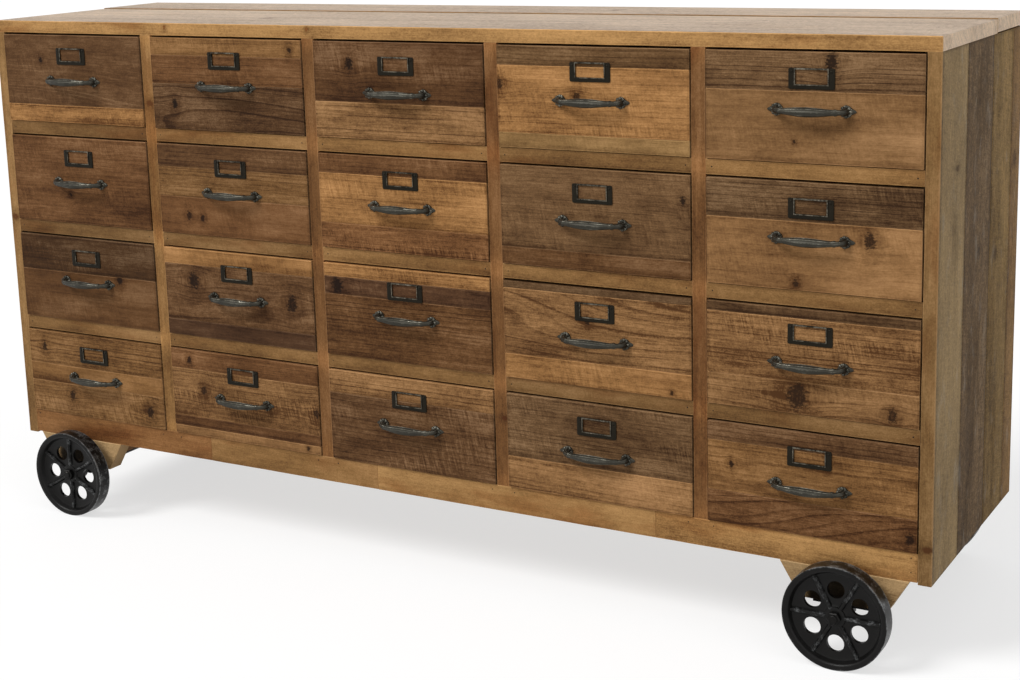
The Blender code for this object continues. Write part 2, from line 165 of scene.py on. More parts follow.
class ChestTrimSizes(bpy.types.PropertyGroup):
    """Sizes of the small work on the chest"""

    arris: length("Arris", "Rounding of the boards' long edges", 0.0009)
    seam: length("Seam", "Gap between neighbouring boards", 0.0003)
    waver: length("Waver", "How far a worn edge wanders", 0.0004)
    edge_strip: length("Edge strip", "Thickness of the honey strips on the front edges", 0.003)
    nail_radius: length("Nail radius", "Radius of the nail heads in the face frame", 0.0010)
    nail_height: length("Nail height", "How proud the nail heads stand", 0.0004)
    pin_radius: length("Pin radius", "Radius of the label holders' pins", 0.0017)
    pin_height: length("Pin height", "How proud the label holders' pins stand", 0.0010)
    petals: IntProperty(name="Petals", description="Petals round each rosette", default=8, min=3)
    petal_length: length("Petal length", "Length of a rosette petal", 0.0062)
    petal_width: length("Petal width", "Width of a rosette petal", 0.0046)
    spokes: IntProperty(name="Spokes", description="Ribs and holes of a wheel", default=6, min=3)


class ChestStudio(bpy.types.PropertyGroup):
    """Light, floor and camera of the studio"""

    key: level("Key light", "Strength of the light from the front left", 2.2)
    fill: level("Fill light", "Strength of the light from the right", 0.55)
    ambient: level("Ambient", "Strength of the even light from all round", 0.42)
    floor: tone("Floor", "Colour of the floor", "d8d6d2")
    lens: FloatProperty(name="Lens", description="Focal length of the camera", default=61.160,
                        min=1.0, subtype="DISTANCE_CAMERA", unit="CAMERA")


# Grain of a board: rings to the metre, how far they wander, how dark they are, then the strength of saw
# marks, stains and broad streaks
Figure = namedtuple("Figure", "rings wander contrast saw stain streak")
FIGURES = {
    "glazed": Figure(55, 0.030, 0.16, 0.10, 1.00, 0.13),
    "calm": Figure(90, 0.040, 0.24, 0.40, 0.32, 0.10),
    "plain": Figure(115, 0.035, 0.60, 0.45, 0.55, 0.32),
    "striped": Figure(150, 0.008, 0.95, 0.40, 0.45, 0.40),
    "soft": Figure(140, 0.014, 0.40, 0.80, 0.50, 0.27),
    "flowing": Figure(95, 0.220, 1.00, 0.40, 0.60, 0.44),
    "flame": Figure(70, 0.260, -0.55, 0.45, 0.45, 0.24),
    "sawn": Figure(150, 0.014, 0.66, 1.35, 0.65, 0.40),
    "stained": Figure(130, 0.050, 0.55, 0.55, 1.20, 0.38),
    "weathered": Figure(100, 0.020, 0.22, 0.55, 0.80, 0.22),
    "washed": Figure(90, 0.020, 0.08, 0.30, 0.35, 0.02),
    "raw": Figure(80, 0.050, 0.30, 0.10, 0.10, 0.25),
    "bleached": Figure(75, 0.090, 0.50, 0.30, 0.40, 0.34),
}

# A knot too far off to be seen, the most that a board's tone drifts, what the palest grain makes of the
# tone and is glazed with, the grey of a dry film, and the depth of the grain
NO_KNOT = (9.0, 9.0, 0.004)
MOST_DRIFT = 1.5
PALE_GRAIN = (1.65, 1.62, 1.55)
PALE_GLAZE = (0.60, 0.46, 0.30)
FILM_GREY = (0.33, 0.31, 0.27)
GRAIN_RELIEF = 0.0008

# A kind of wood: roughness, specular level and relief, what its darkest grain and its stains keep of
# the tone, what the heart of a knot keeps and how ragged it is, then the strength of its blotches,
# flecks and grit, the dirt and painted shade along its edges and a pale film on it
WoodLook = namedtuple("WoodLook", "roughness specular relief shadow stain heart "
                                  "fray mottle fleck grit dirt bloom")
WARM_SHADOW = (0.30, 0.235, 0.18)
GREY_SHADOW = (0.36, 0.33, 0.32)
WOOD_LOOKS = {
    "honey frame wood": WoodLook(
        0.60, 0.12, 0.25, WARM_SHADOW, (0.62, 0.46, 0.35), (0.40, 0.26, 0.19),
        0.5, 1.8, 1.2, 2.2, 0.12, 0.0),
    "reclaimed drawer wood": WoodLook(
        0.66, 0.10, 0.55, WARM_SHADOW, (0.34, 0.26, 0.22), (0.09, 0.075, 0.07),
        1.2, 2.3, 1.2, 1.6, 0.30, 0.0),
    "weathered side wood": WoodLook(
        0.70, 0.10, 0.60, GREY_SHADOW, (0.40, 0.37, 0.38), (0.30, 0.26, 0.24),
        1.0, 1.3, 2.3, 4.0, 0.55, 0.26),
    "pale top wood": WoodLook(
        0.58, 0.14, 0.40, GREY_SHADOW, (0.62, 0.56, 0.50), (0.45, 0.38, 0.32),
        1.0, 0.8, 1.6, 1.6, 0.25, 0.12),
    "raw inner wood": WoodLook(
        0.74, 0.15, 0.40, WARM_SHADOW, (0.50, 0.42, 0.34), (0.34, 0.25, 0.19),
        0.8, 1.0, 0.6, 0.9, 0.20, 0.0),
}

# A kind of ironwork: tones of its dark and its rubbed metal, then roughness, metallic, specular level
# and relief
MetalLook = namedtuple("MetalLook", "dark bare roughness metallic specular relief")
METAL_LOOKS = {
    "blackened pewter": MetalLook("pewter", "pewter_worn", 0.44, 0.80, 0.50, 0.35),
    "label holder iron": MetalLook("label", "label_worn", 0.50, 0.60, 0.25, 0.35),
    "black cast iron": MetalLook("cast", "cast_worn", 0.38, 0.45, 0.24, 0.60),
    "dark axle steel": MetalLook("steel", "steel_worn", 0.45, 0.85, 0.40, 0.35),
}
CASTING_RELIEF = 0.0004

# Planks of each drawer front from its top down: share of the height, tone, shade, figure, then knots as
# (place along from the left, place down the plank, radius)
FRONT_PLANKS = {
    (1, 1): ((0.80, "dark_brown", 1.02, "flame", (0.27, 0.36, 0.004)),
             (0.20, "honey", 1.15, "plain")),
    (1, 2): ((0.19, "honey", 0.72, "soft", (0.93, 0.55, 0.004)),
             (0.31, "brown", 0.82, "soft"),
             (0.50, "dark_brown", 0.85, "flowing", (0.15, 0.45, 0.006))),
    (1, 3): ((0.62, "brown", 0.59, "soft", (0.22, 0.36, 0.008)),
             (0.38, "tan", 0.95, "striped")),
    (1, 4): ((0.19, "tan", 0.52, "plain"),
             (0.66, "honey", 1.18, "soft", (0.012, 0.28, 0.006), (0.43, 0.44, 0.006)),
             (0.15, "light_honey", 0.82, "calm")),
    (1, 5): ((0.35, "grey_brown", 0.95, "striped", (0.59, 0.25, 0.009)),
             (0.65, "tan", 0.92, "calm", (0.42, 0.70, 0.002))),
    (2, 1): ((1.00, "brown", 0.74, "soft", (0.42, 0.66, 0.003)),),
    (2, 2): ((0.25, "dark_brown", 1.04, "soft"),
             (0.33, "honey", 0.56, "striped"),
             (0.42, "brown", 0.82, "calm", (0.20, 0.50, 0.006), (0.29, 0.55, 0.005))),
    (2, 3): ((0.20, "brown", 0.75, "soft"),
             (0.53, "honey", 1.17, "soft"),
             (0.27, "brown", 1.10, "sawn")),
    (2, 4): ((0.82, "grey_brown", 0.97, "soft", (0.965, 0.30, 0.005)),
             (0.18, "red_brown", 0.92, "soft")),
    (2, 5): ((0.36, "grey_brown", 0.82, "sawn"),
             (0.64, "tan", 1.02, "calm", (0.77, 0.20, 0.009), (0.43, 0.90, 0.004))),
    (3, 1): ((0.42, "red_brown", 0.50, "soft"),
             (0.58, "red_brown", 0.85, "calm", (0.74, 0.06, 0.006))),
    (3, 2): ((0.18, "honey", 1.05, "calm"),
             (0.64, "dark_brown", 1.04, "stained", (0.20, 0.28, 0.011), (0.86, 0.50, 0.010)),
             (0.18, "charcoal", 1.00, "calm")),
    (3, 3): ((0.14, "honey", 1.02, "soft"),
             (0.19, "charcoal", 1.34, "soft", (0.08, 0.50, 0.011)),
             (0.67, "red_brown", 0.98, "striped")),
    (3, 4): ((0.07, "grey_brown", 0.75, "plain"),
             (0.68, "tan", 1.02, "flowing", (0.46, 0.38, 0.005)),
             (0.25, "honey", 0.95, "soft", (0.90, 0.80, 0.003))),
    (3, 5): ((0.09, "grey_brown", 0.85, "plain"),
             (0.60, "tan", 1.00, "sawn"),
             (0.31, "tan", 0.95, "plain", (0.44, 0.45, 0.015), (0.88, 0.70, 0.007))),
    (4, 1): ((0.40, "honey", 0.62, "striped", (0.12, 0.48, 0.006)),
             (0.22, "honey", 0.72, "calm"),
             (0.38, "honey", 0.62, "sawn", (0.31, 0.35, 0.007), (0.90, 0.50, 0.008))),
    (4, 2): ((0.22, "brown", 0.90, "soft", (0.13, 0.55, 0.005)),
             (0.56, "tan", 0.98, "sawn", (0.22, 0.42, 0.006), (0.985, 0.55, 0.006)),
             (0.12, "brown", 0.70, "soft"),
             (0.10, "tan", 0.92, "calm", (0.92, 0.45, 0.003))),
    (4, 3): ((0.25, "tan", 0.98, "striped"),
             (0.75, "dark_brown", 0.91, "sawn")),
    (4, 4): ((0.66, "grey_brown", 0.83, "sawn"),
             (0.34, "tan", 0.96, "plain")),
    (4, 5): ((0.18, "dark_brown", 0.95, "striped"),
             (0.50, "honey", 0.68, "stained", (0.12, 0.45, 0.004)),
             (0.32, "brown", 0.80, "flowing", (0.97, 0.60, 0.006))),
}

# Boards of the side panels from the front back: share of the depth, tone and figure
RIGHT_SIDE_PLANKS = ((0.293, "side_beige", "washed"), (0.321, "side_dark", "weathered"),
                     (0.257, "side_olive", "weathered"), (0.129, "side_tan", "weathered"))
LEFT_SIDE_PLANKS = ((0.243, "side_olive", "weathered"), (0.310, "side_beige", "washed"),
                    (0.262, "side_tan", "weathered"), (0.185, "side_dark", "weathered"))

# Where the pieces that the base rail is spliced from meet
BASE_RAIL_SPLICES = (-0.405, -0.068, 0.418)


class Nodes:
    """Short calls that add nodes to one tree, fed by sockets or plain values."""

    def __init__(self, tree):
        self.tree = tree

    def add(self, kind, **settings):
        node = self.tree.nodes.new(kind)
        for key, value in settings.items():
            setattr(node, key, value)
        return node

    def feed(self, socket, value):
        if isinstance(value, bpy.types.NodeSocket):
            self.tree.links.new(value, socket)
        elif value is not None:
            socket.default_value = value

    def make(self, kind, inputs, **settings):
        """Add a node, feed its inputs by name or number, and give its outputs."""
        node = self.add(kind, **settings)
        for key, value in inputs.items():
            self.feed(node.inputs[key], value)
        return node.outputs

    def math(self, operation, a, b=None, c=None, clamp=False):
        return self.make("ShaderNodeMath", {0: a, 1: b, 2: c}, operation=operation, use_clamp=clamp)[0]

    def times(self, a, b, clamp=False):
        return self.math("MULTIPLY", a, b, clamp=clamp)

    def times_add(self, a, b, c, clamp=False):
        return self.math("MULTIPLY_ADD", a, b, c, clamp)

    def centred(self, value):
        """A level from 0 to 1 as a swing to both sides of nothing."""
        return self.math("SUBTRACT", value, 0.5)

    def vector(self, operation, a, b=None):
        return self.make("ShaderNodeVectorMath", {0: a, 1: b}, operation=operation)[0]

    def ramp(self, value, low, high, start=0.0, end=1.0):
        """A smooth step of a value between two levels."""
        levels = {0: value, 1: low, 2: high, 3: start, 4: end}
        return self.make("ShaderNodeMapRange", levels, interpolation_type="SMOOTHSTEP")[0]

    def noise(self, vector, stretch, detail=2.0, roughness=0.5):
        """Noise with so many features to the metre along each axis."""
        return self.make("ShaderNodeTexNoise", {
            "Vector": self.vector("MULTIPLY", vector, stretch),
            "Scale": 1.0, "Detail": detail, "Roughness": roughness})[0]

    def mix(self, factor, a, b, blend="MIX"):
        return self.make("ShaderNodeMix", {0: factor, 6: a, 7: b}, data_type="RGBA", blend_type=blend)[2]

    def tint(self, colour, kept):
        """A colour with so much of its red, green and blue kept."""
        return self.mix(1.0, colour, (*kept, 1.0), "MULTIPLY")

    def bump(self, height, strength, distance):
        return self.make("ShaderNodeBump", {
            "Height": height, "Strength": strength, "Distance": distance})[0]

    def split(self, vector):
        return self.make("ShaderNodeSeparateXYZ", {0: vector})

    def join(self, x, y, z):
        return self.make("ShaderNodeCombineXYZ", {0: x, 1: y, 2: z})[0]

    def attribute(self, name, output="Vector"):
        return self.add("ShaderNodeAttribute", attribute_name=name).outputs[output]

    def group(self, tree, **inputs):
        return self.make("ShaderNodeGroup", inputs, node_tree=tree)


def node_group(name, kind, inputs, outputs):
    """An empty node group with named sockets: its nodes, its inputs and its outputs."""
    tree = bpy.data.node_groups.new(name, kind)
    for in_out, sockets in (("INPUT", inputs), ("OUTPUT", outputs)):
        for socket_name, socket_type in sockets.items():
            tree.interface.new_socket(socket_name, in_out=in_out,
                                      socket_type="NodeSocket" + socket_type)
    nodes = Nodes(tree)
    return nodes, nodes.add("NodeGroupInput").outputs, nodes.add("NodeGroupOutput").inputs


def once(make):
    """Build a shared node group or finish on its first use only."""
    made = {}

    def shared(*key):
        if key not in made:
            made[key] = make(*key)
        return made[key]

    return shared


@once
def knot_group():
    """Grain that parts round a knot and closes beyond it, with the knot's core and its dark surround."""
    n, inside, out = node_group(
        "Knot", "ShaderNodeTree", {"Knot": "Vector", "Ragged": "Float"},
        {"Shift": "Float", "Core": "Float", "Swirl": "Float", "Halo": "Float"})
    along, across, radius = n.split(inside["Knot"])
    reach = n.math("DIVIDE", along, n.times(radius, 2.6))
    spread = n.math("EXPONENT", n.times(n.times(reach, reach), -1.0))
    limit = n.times_add(n.times(radius, spread), 0.95, 0.00002)
    part = n.math("TANH", n.math("DIVIDE", across, limit))
    far = n.math("DIVIDE", n.math("ABSOLUTE", across), n.times(radius, -3.5))
    n.feed(out["Shift"], n.times(n.times(limit, part), n.math("EXPONENT", far)))
    tall = n.times(across, 0.70)
    square = n.times_add(along, along, n.times(tall, tall))
    away = n.math("DIVIDE", n.math("SQRT", square), radius)
    away = n.times_add(n.centred(inside["Ragged"]), 1.6, away)
    n.feed(out["Core"], n.ramp(away, 0.52, 1.18, 1.0, 0.0))
    n.feed(out["Swirl"], n.ramp(n.math("SINE", n.times(away, 8.0)), -0.1, 0.8))
    n.feed(out["Halo"], n.ramp(away, 0.7, 3.4, 1.0, 0.0))
    return n.tree


@once
def rings_group():
    """Growth rings that wander along a board: dark late wood, and broad light and dark streaks."""
    n, inside, out = node_group(
        "Growth rings", "ShaderNodeTree", {"Grain": "Vector", "Figure": "Vector"},
        {"Ring": "Float", "Streak": "Float"})
    density, wander, contrast = n.split(inside["Figure"])
    along, across, through = n.split(inside["Grain"])
    sway = n.centred(n.noise(inside["Grain"], (1.5, 7.5, 7.5), 1.0, 0.4))
    ripple = n.centred(n.noise(inside["Grain"], (8.0, 26.0, 26.0), 1.0))
    place = n.times_add(sway, wander, n.times_add(through, 0.6, across))
    place = n.times_add(ripple, 0.0016, place)
    uneven = n.noise(n.join(0.0, place, 0.0), (1.0, 24.0, 1.0), 1.0)
    phase = n.times_add(place, density, n.times(uneven, 3.0))
    turn = n.math("FRACT", phase)
    ring = n.times(n.ramp(turn, 0.58, 0.92), n.ramp(turn, 0.92, 1.0, 1.0, 0.0))
    year = n.add("ShaderNodeTexWhiteNoise", noise_dimensions="1D")
    n.feed(year.inputs["W"], n.math("FLOOR", phase))
    strength = n.times_add(year.outputs["Value"], 0.90, 0.10)
    n.feed(out["Ring"], n.times(n.times(ring, strength), contrast))
    n.feed(out["Streak"], n.noise(n.join(along, place, 0.0), (2.2, 75.0, 1.0), 3.0, 0.68))
    return n.tree


@once
def fibre_group():
    """Fine fibres, pores, flecks and grit along the grain, and saw marks across it."""
    n, inside, out = node_group("Fibres and saw marks", "ShaderNodeTree", {"Grain": "Vector"},
                                {"Fibre": "Float", "Pore": "Float", "Fleck": "Float", "Grit": "Float",
                                 "Kerf": "Float"})
    grain = inside["Grain"]
    n.feed(out["Fibre"], n.noise(grain, (22.0, 640.0, 640.0), 2.0, 0.70))
    n.feed(out["Pore"], n.ramp(n.noise(grain, (55.0, 900.0, 900.0), 1.0), 0.60, 0.74))
    n.feed(out["Fleck"], n.noise(grain, (110.0, 150.0, 150.0), 2.0, 0.6))
    n.feed(out["Grit"], n.noise(grain, (400.0, 520.0, 520.0), 2.0, 0.65))
    along, across, through = n.split(grain)
    slanted = n.join(n.times_add(across, 0.22, along), across, through)
    ticks = n.centred(n.noise(slanted, (330.0, 32.0, 32.0), 1.0, 0.6))
    patches = n.ramp(n.noise(grain, (7.0, 20.0, 20.0), 1.0), 0.38, 0.66)
    n.feed(out["Kerf"], n.times(ticks, patches))
    return n.tree


@once
def edge_group():
    """How near a point lies to its board's edges: a worn arris with painted highlight, and dirt and
    painted shade behind it.
    """
    n, inside, out = node_group("Board edges", "ShaderNodeTree",
                                {"Place": "Vector", "Half": "Vector", "Ragged": "Float"},
                                {"Arris": "Float", "Grime": "Float"})
    gap = n.vector("SUBTRACT", inside["Half"], n.vector("ABSOLUTE", inside["Place"]))
    along, across, _ = n.split(gap)
    near = n.math("MINIMUM", n.times(along, 2.0), across)
    near = n.times_add(n.centred(inside["Ragged"]), 0.0022, near)
    # Lighter arris: wear, and painted highlight where an edge catches light
    n.feed(out["Arris"], n.ramp(near, 0.0003, 0.0016, 1.0, 0.0))
    # Darker band behind it: dirt, and painted shade along the seams
    n.feed(out["Grime"], n.ramp(near, 0.0008, 0.0090, 1.0, 0.0))
    return n.tree


def blank_finish(name):
    """A new material with its nodes and the inputs of its shader."""
    material = bpy.data.materials.new(name)
    material.use_nodes = True
    n = Nodes(material.node_tree)
    return material, n, n.tree.nodes["Principled BSDF"].inputs


@once
def wood_finish(name):
    """Reclaimed wood: every board brings its own tone, grain, knots and marks."""
    look = WOOD_LOOKS[name]
    material, n, shader = blank_finish(name)
    grain = n.attribute("grain")
    tone_colour = n.attribute("tone", "Color")
    place, half = n.attribute("place"), n.attribute("half")
    saw, stain, streaking = n.split(n.attribute("marks"))
    ragged = n.noise(grain, (210.0, 330.0, 330.0), 2.0, 0.6)

    frayed = n.times_add(ragged, look.fray, 0.5 - 0.5 * look.fray)
    knots = [n.group(knot_group(), Knot=n.attribute(key), Ragged=frayed)
             for key in ("knot_a", "knot_b")]
    shift = n.math("ADD", knots[0]["Shift"], knots[1]["Shift"])
    core, halo = (n.math("MAXIMUM", knots[0][key], knots[1][key]) for key in ("Core", "Halo"))
    swirl = n.times(knots[0]["Swirl"], knots[1]["Swirl"])
    parted = n.vector("SUBTRACT", grain, n.join(0.0, shift, 0.0))
    rings = n.group(rings_group(), Grain=parted, Figure=n.attribute("figure"))
    fibres = n.group(fibre_group(), Grain=parted)
    edges = n.group(edge_group(), Place=place, Half=half, Ragged=ragged)
    blotch = n.noise(parted, (9.0, 26.0, 26.0), 3.0, 0.6)
    drift = n.noise(grain, (3.0, 8.0, 8.0), 1.0)
    # Painted light and shade across a board: lighter towards one long edge (on the drawer planks, the
    # top) and darker towards the other
    painted_light_across = n.math("DIVIDE", n.split(place)[1], n.split(half)[1])

    def swing(value, strength):
        return n.times(n.centred(value), strength)

    # What lightens the tone, and with a minus what darkens it
    coarse = n.times_add(streaking, 1.4, 0.40)
    light = n.times(swing(rings["Streak"], 3.2), streaking)
    for value, weight in (
            (swing(fibres["Fibre"], 1.9), n.times_add(streaking, 1.8, 0.25)),
            (swing(fibres["Grit"], look.grit), coarse),
            (swing(fibres["Fleck"], look.fleck), coarse),
            (swing(ragged, 0.5), 1.0),
            (swing(blotch, look.mottle), 1.0),
            (swing(drift, min(look.mottle, MOST_DRIFT)), 1.0),
            (fibres["Kerf"], n.times_add(saw, 1.5, 0.10)),
            (rings["Ring"], -0.95),
            (fibres["Pore"], -0.22),
            (halo, -0.50),
            # Dirt and painted shade along the edges
            (edges["Grime"], -look.dirt),
            # Worn arris with painted highlight
            (edges["Arris"], 0.85),
            # Painted light across the board
            (painted_light_across, 0.13)):
        light = n.times_add(value, weight, light)

    pale = n.mix(0.12, n.tint(tone_colour, PALE_GRAIN), (*PALE_GLAZE, 1.0))
    colour = n.mix(n.times(light, -1.0, clamp=True), tone_colour, n.tint(tone_colour, look.shadow))
    colour = n.mix(n.times(light, 1.0, clamp=True), colour, pale)
    blot = n.ramp(n.noise(parted, (5.0, 19.0, 19.0), 3.0, 0.6), 0.50, 0.72)
    blot = n.times(blot, stain)
    colour = n.mix(n.times(blot, 0.70), colour, n.tint(colour, look.stain))
    ringed = n.tint(tone_colour, [min(2.8 * c, 0.9) for c in look.heart])
    heart = n.mix(swirl, n.tint(tone_colour, look.heart), ringed)
    colour = n.mix(n.times(core, 0.95), colour, heart)
    if look.bloom:
        film = n.ramp(n.noise(grain, (16.0, 34.0, 34.0), 3.0, 0.7), 0.54, 0.74)
        colour = n.mix(n.times(film, look.bloom), colour, (*FILM_GREY, 1.0))
    n.feed(shader["Base Color"], colour)

    dull = n.times_add(fibres["Fibre"], 0.30, look.roughness - 0.15)
    n.feed(shader["Roughness"], n.times_add(blot, 0.10, dull, clamp=True))
    shader["Specular IOR Level"].default_value = look.specular
    height = n.times_add(rings["Ring"], -0.7, fibres["Fibre"])
    height = n.math("ADD", fibres["Kerf"], height)
    height = n.times_add(core, -0.6, height)
    n.feed(shader["Normal"], n.bump(height, look.relief, GRAIN_RELIEF))
    return material


@once
def wear_group():
    """Rubbed metal: a mask of bare edges broken up by scratches, with mottling and casting pits."""
    n, inside, out = node_group("Rubbed metal", "ShaderNodeTree", {"Place": "Vector", "Wear": "Float"},
                                {"Bare": "Float", "Mottle": "Float", "Pit": "Float"})
    patches = n.noise(inside["Place"], (70.0, 70.0, 70.0), 3.0, 0.65)
    scratch = n.noise(inside["Place"], (420.0, 420.0, 420.0), 2.0, 0.7)
    broken = n.times_add(scratch, 0.45, n.times(patches, 0.75))
    amount = n.times_add(inside["Wear"], 0.95, n.math("SUBTRACT", broken, 1.02))
    n.feed(out["Bare"], n.ramp(amount, 0.0, 0.34))
    n.feed(out["Mottle"], patches)
    n.feed(out["Pit"], n.noise(inside["Place"], (900.0, 900.0, 900.0), 2.0, 0.6))
    return n.tree


@once
def metal_finish(name):
    """Dark ironwork, rubbed bright where hands and floors touch it; on the wheels' ribs and rims and the
    pulls' upper sides the brightening is also painted highlight.
    """
    look = METAL_LOOKS[name]
    tones = bpy.context.scene.chest_metals
    dark, bare = ((*getattr(tones, key), 1.0) for key in (look.dark, look.bare))
    material, n, shader = blank_finish(name)
    place = n.add("ShaderNodeTexCoord").outputs["Object"]
    worn = n.group(wear_group(), Place=place, Wear=n.attribute("wear", "Fac"))
    shade = n.times_add(worn["Mottle"], 1.1, 0.45)
    n.feed(shader["Base Color"], n.mix(worn["Bare"], n.mix(1.0, dark, shade, "MULTIPLY"), bare))
    dull = n.times_add(worn["Mottle"], 0.24, look.roughness - 0.12)
    n.feed(shader["Roughness"], n.times_add(worn["Bare"], -0.10, dull, clamp=True))
    shader["Metallic"].default_value = look.metallic
    shader["Specular IOR Level"].default_value = look.specular
    height = n.times_add(worn["Pit"], 0.6, worn["Mottle"])
    n.feed(shader["Normal"], n.bump(height, look.relief, CASTING_RELIEF))
    return material


def finish_named(name):
    return wood_finish(name) if name in WOOD_LOOKS else metal_finish(name)


class BoardPile:
    """Boards gathered into one mesh, where each point carries what the finish reads of its board."""

    VALUES = ("grain", "place", "half", "knot_a", "knot_b", "figure", "marks")
    # Cuts along a board, its place in the log, its range of tone, and how its two long edges wander
    CUT_SPACING = 0.030
    FINE_SPACING = 0.005
    START_SPREAD = (40, 9, 9)
    TONE_RANGE = (0.93, 1.07)
    WAVES = 22
    EDGE_TRACKS = (3.0, 7.0)

    def __init__(self, seed, end_grain=0.60):
        self.random = random.Random(seed)
        self.end_grain = end_grain
        self.points = []
        self.faces = []
        self.tones = []
        self.values = {key: [] for key in self.VALUES}

    def lay(self, low, high, along, tone_name, figure_name, knots=(), waver=0.0, shape=None, arris=None,
            tone_left=None, shade=1.0):
        """Add one board between two corners with its grain along an axis.

        Knots are (place along from the low end, place down from the high edge, radius), shape moves the
        finished board's points, tone_left says how much of the tone is left at a place on the board (on
        the axle carriers it paints shade behind the wheels), and shade is how light the board is in its
        tone.
        """
        trim = bpy.context.scene.chest_trim
        low, high = Vector(low), Vector(high)
        size = high - low
        centre = (low + high) / 2
        through = min((axis for axis in range(3) if axis != along), key=lambda axis: size[axis])
        across = 3 - along - through
        half = Vector((size[along], size[across], size[through])) / 2
        cut_axes = (along, across) if tone_left else (along,) if waver else ()
        bm = self.blank(size, cut_axes, self.FINE_SPACING if tone_left else self.CUT_SPACING)
        edge = min(trim.arris if arris is None else arris, size[through] * 0.25)
        bevel(bm, [e for e in bm.edges if e.calc_face_angle(0.0) > SHARP], edge)

        start = Vector([self.random.uniform(0, reach) for reach in self.START_SPREAD])
        lightness = shade * self.random.uniform(*self.TONE_RANGE)
        board_tone = [c * lightness for c in getattr(bpy.context.scene.chest_tones, tone_name)]
        figure = FIGURES[figure_name]
        spots = [((u - 0.5) * size[along], (0.5 - v) * size[across], radius)
                 for u, v, radius in knots[:2]]
        first = len(self.points)
        for vert in bm.verts:
            place = Vector((vert.co[along], vert.co[across], vert.co[through]))
            rows = {"grain": place + start, "place": place, "half": half,
                    "figure": figure[:3], "marks": figure[3:]}
            for key, index in (("knot_a", 0), ("knot_b", 1)):
                rows[key] = NO_KNOT
                if index < len(spots):
                    u, v, radius = spots[index]
                    rows[key] = (place.x - u, place.y - v, radius)
            for key, row in rows.items():
                self.values[key].extend(row)
            kept = self.end_grain if abs(place.x) > half.x - NEAR else 1.0
            if tone_left:
                kept *= tone_left(place)
            self.tones.extend((*(c * kept for c in board_tone), 1.0))
            point = vert.co.copy()
            if waver:
                sides = (math.copysign(track, at) for track, at in zip(self.EDGE_TRACKS, place.yz))
                point[across] += waver * noise.noise(Vector((place.x * self.WAVES + start.x, *sides)))
            point += centre
            self.points.append(shape(point) if shape else point)
        self.faces.extend([first + v.index for v in face.verts] for face in bm.faces)
        bm.free()

    def blank(self, size, cut_axes, spacing):
        """A plain block, cut up where its edges are to wander or its tone is to change."""
        bm = bmesh.new()
        bmesh.ops.create_cube(bm, size=1.0)
        for vert in bm.verts:
            vert.co = Vector(a * b for a, b in zip(vert.co, size))
        for axis in cut_axes:
            cuts = max(2, int(size[axis] / spacing))
            edges = [e for e in bm.edges if abs(e.verts[0].co[axis] - e.verts[1].co[axis]) > NEAR]
            bmesh.ops.subdivide_edges(bm, edges=edges, cuts=cuts, use_grid_fill=True)
        bm.verts.index_update()
        return bm

    def mesh(self, name):
        mesh = bpy.data.meshes.new(name)
        mesh.from_pydata(self.points, [], self.faces)
        for key, rows in self.values.items():
            mesh.attributes.new(key, "FLOAT_VECTOR", "POINT").data.foreach_set("vector", rows)
        mesh.attributes.new("tone", "FLOAT_COLOR", "POINT").data.foreach_set("color", self.tones)
        return mesh

    def stand(self, name, finish_name, replaces=(), body="case"):
        """Make the boards one piece of the chest."""
        add_piece(name, self.mesh(name), finish_name, body, replaces)


def add_piece(name, mesh, finish_name, body="case", replaces=()):
    """Stand a finished mesh in the scene and hang it on its CAD body."""
    piece = bpy.data.objects.new(name, mesh)
    bpy.context.scene.collection.objects.link(piece)
    mesh.materials.clear()
    mesh.materials.append(finish_named(finish_name))
    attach(piece, body)
    if replaces:
        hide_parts(*replaces)


def opening(row, column):
    """The hole in the face frame that a drawer fills, as low and high corners (x, z)."""
    low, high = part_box(f"drawer_r{row}_c{column}")
    return ((low.x - SIDE_CLEARANCE, low.z - LIFT), (high.x + SIDE_CLEARANCE, high.z + HEAD_CLEARANCE))


def stile_edges(row, column):
    """Left and right edges of the stile that follows a column."""
    return opening(row, column)[1][0], opening(row, column + 1)[0][0]


def drawers():
    return [(row, column) for row in range(1, ROWS + 1) for column in range(1, COLUMNS + 1)]


def runner_tops():
    """Heights of the runner strips, for the rows above the lowest."""
    return [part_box(f"drawer_r{row}_c1")[0].z - RUN_GAP for row in range(1, ROWS)]


def smooth_metal(mesh, angle=38.0):
    mesh.shade_smooth()
    mesh.set_sharp_from_angle(angle=math.radians(angle))


def bevel(bm, edges, rounding, segments=2):
    bmesh.ops.bevel(bm, geom=edges, offset=rounding, segments=segments, profile=0.5, affect="EDGES")


def turns(count):
    """Angles evenly round a circle."""
    return [2 * math.pi * k / count for k in range(count)]


def bridge(bm, rings, closed=False):
    """Faces between neighbouring rings of points, where a ring of one point is a tip."""
    pairs = list(zip(rings, rings[1:]))
    if closed:
        pairs.append((rings[-1], rings[0]))
    for a, b in pairs:
        count = max(len(a), len(b))
        for k in range(count):
            m = (k + 1) % count
            corners = (a[k % len(a)], a[m % len(a)], b[m % len(b)], b[k % len(b)])
            bm.faces.new(list(dict.fromkeys(corners)))


def mesh_from(bm, name, wear=None):
    """The mesh of a shape, with the wear of each of its points."""
    mesh = bpy.data.meshes.new(name)
    bm.to_mesh(mesh)
    bm.free()
    if wear:
        mesh.attributes.new("wear", "FLOAT", "POINT").data.foreach_set("value", wear)
    return mesh


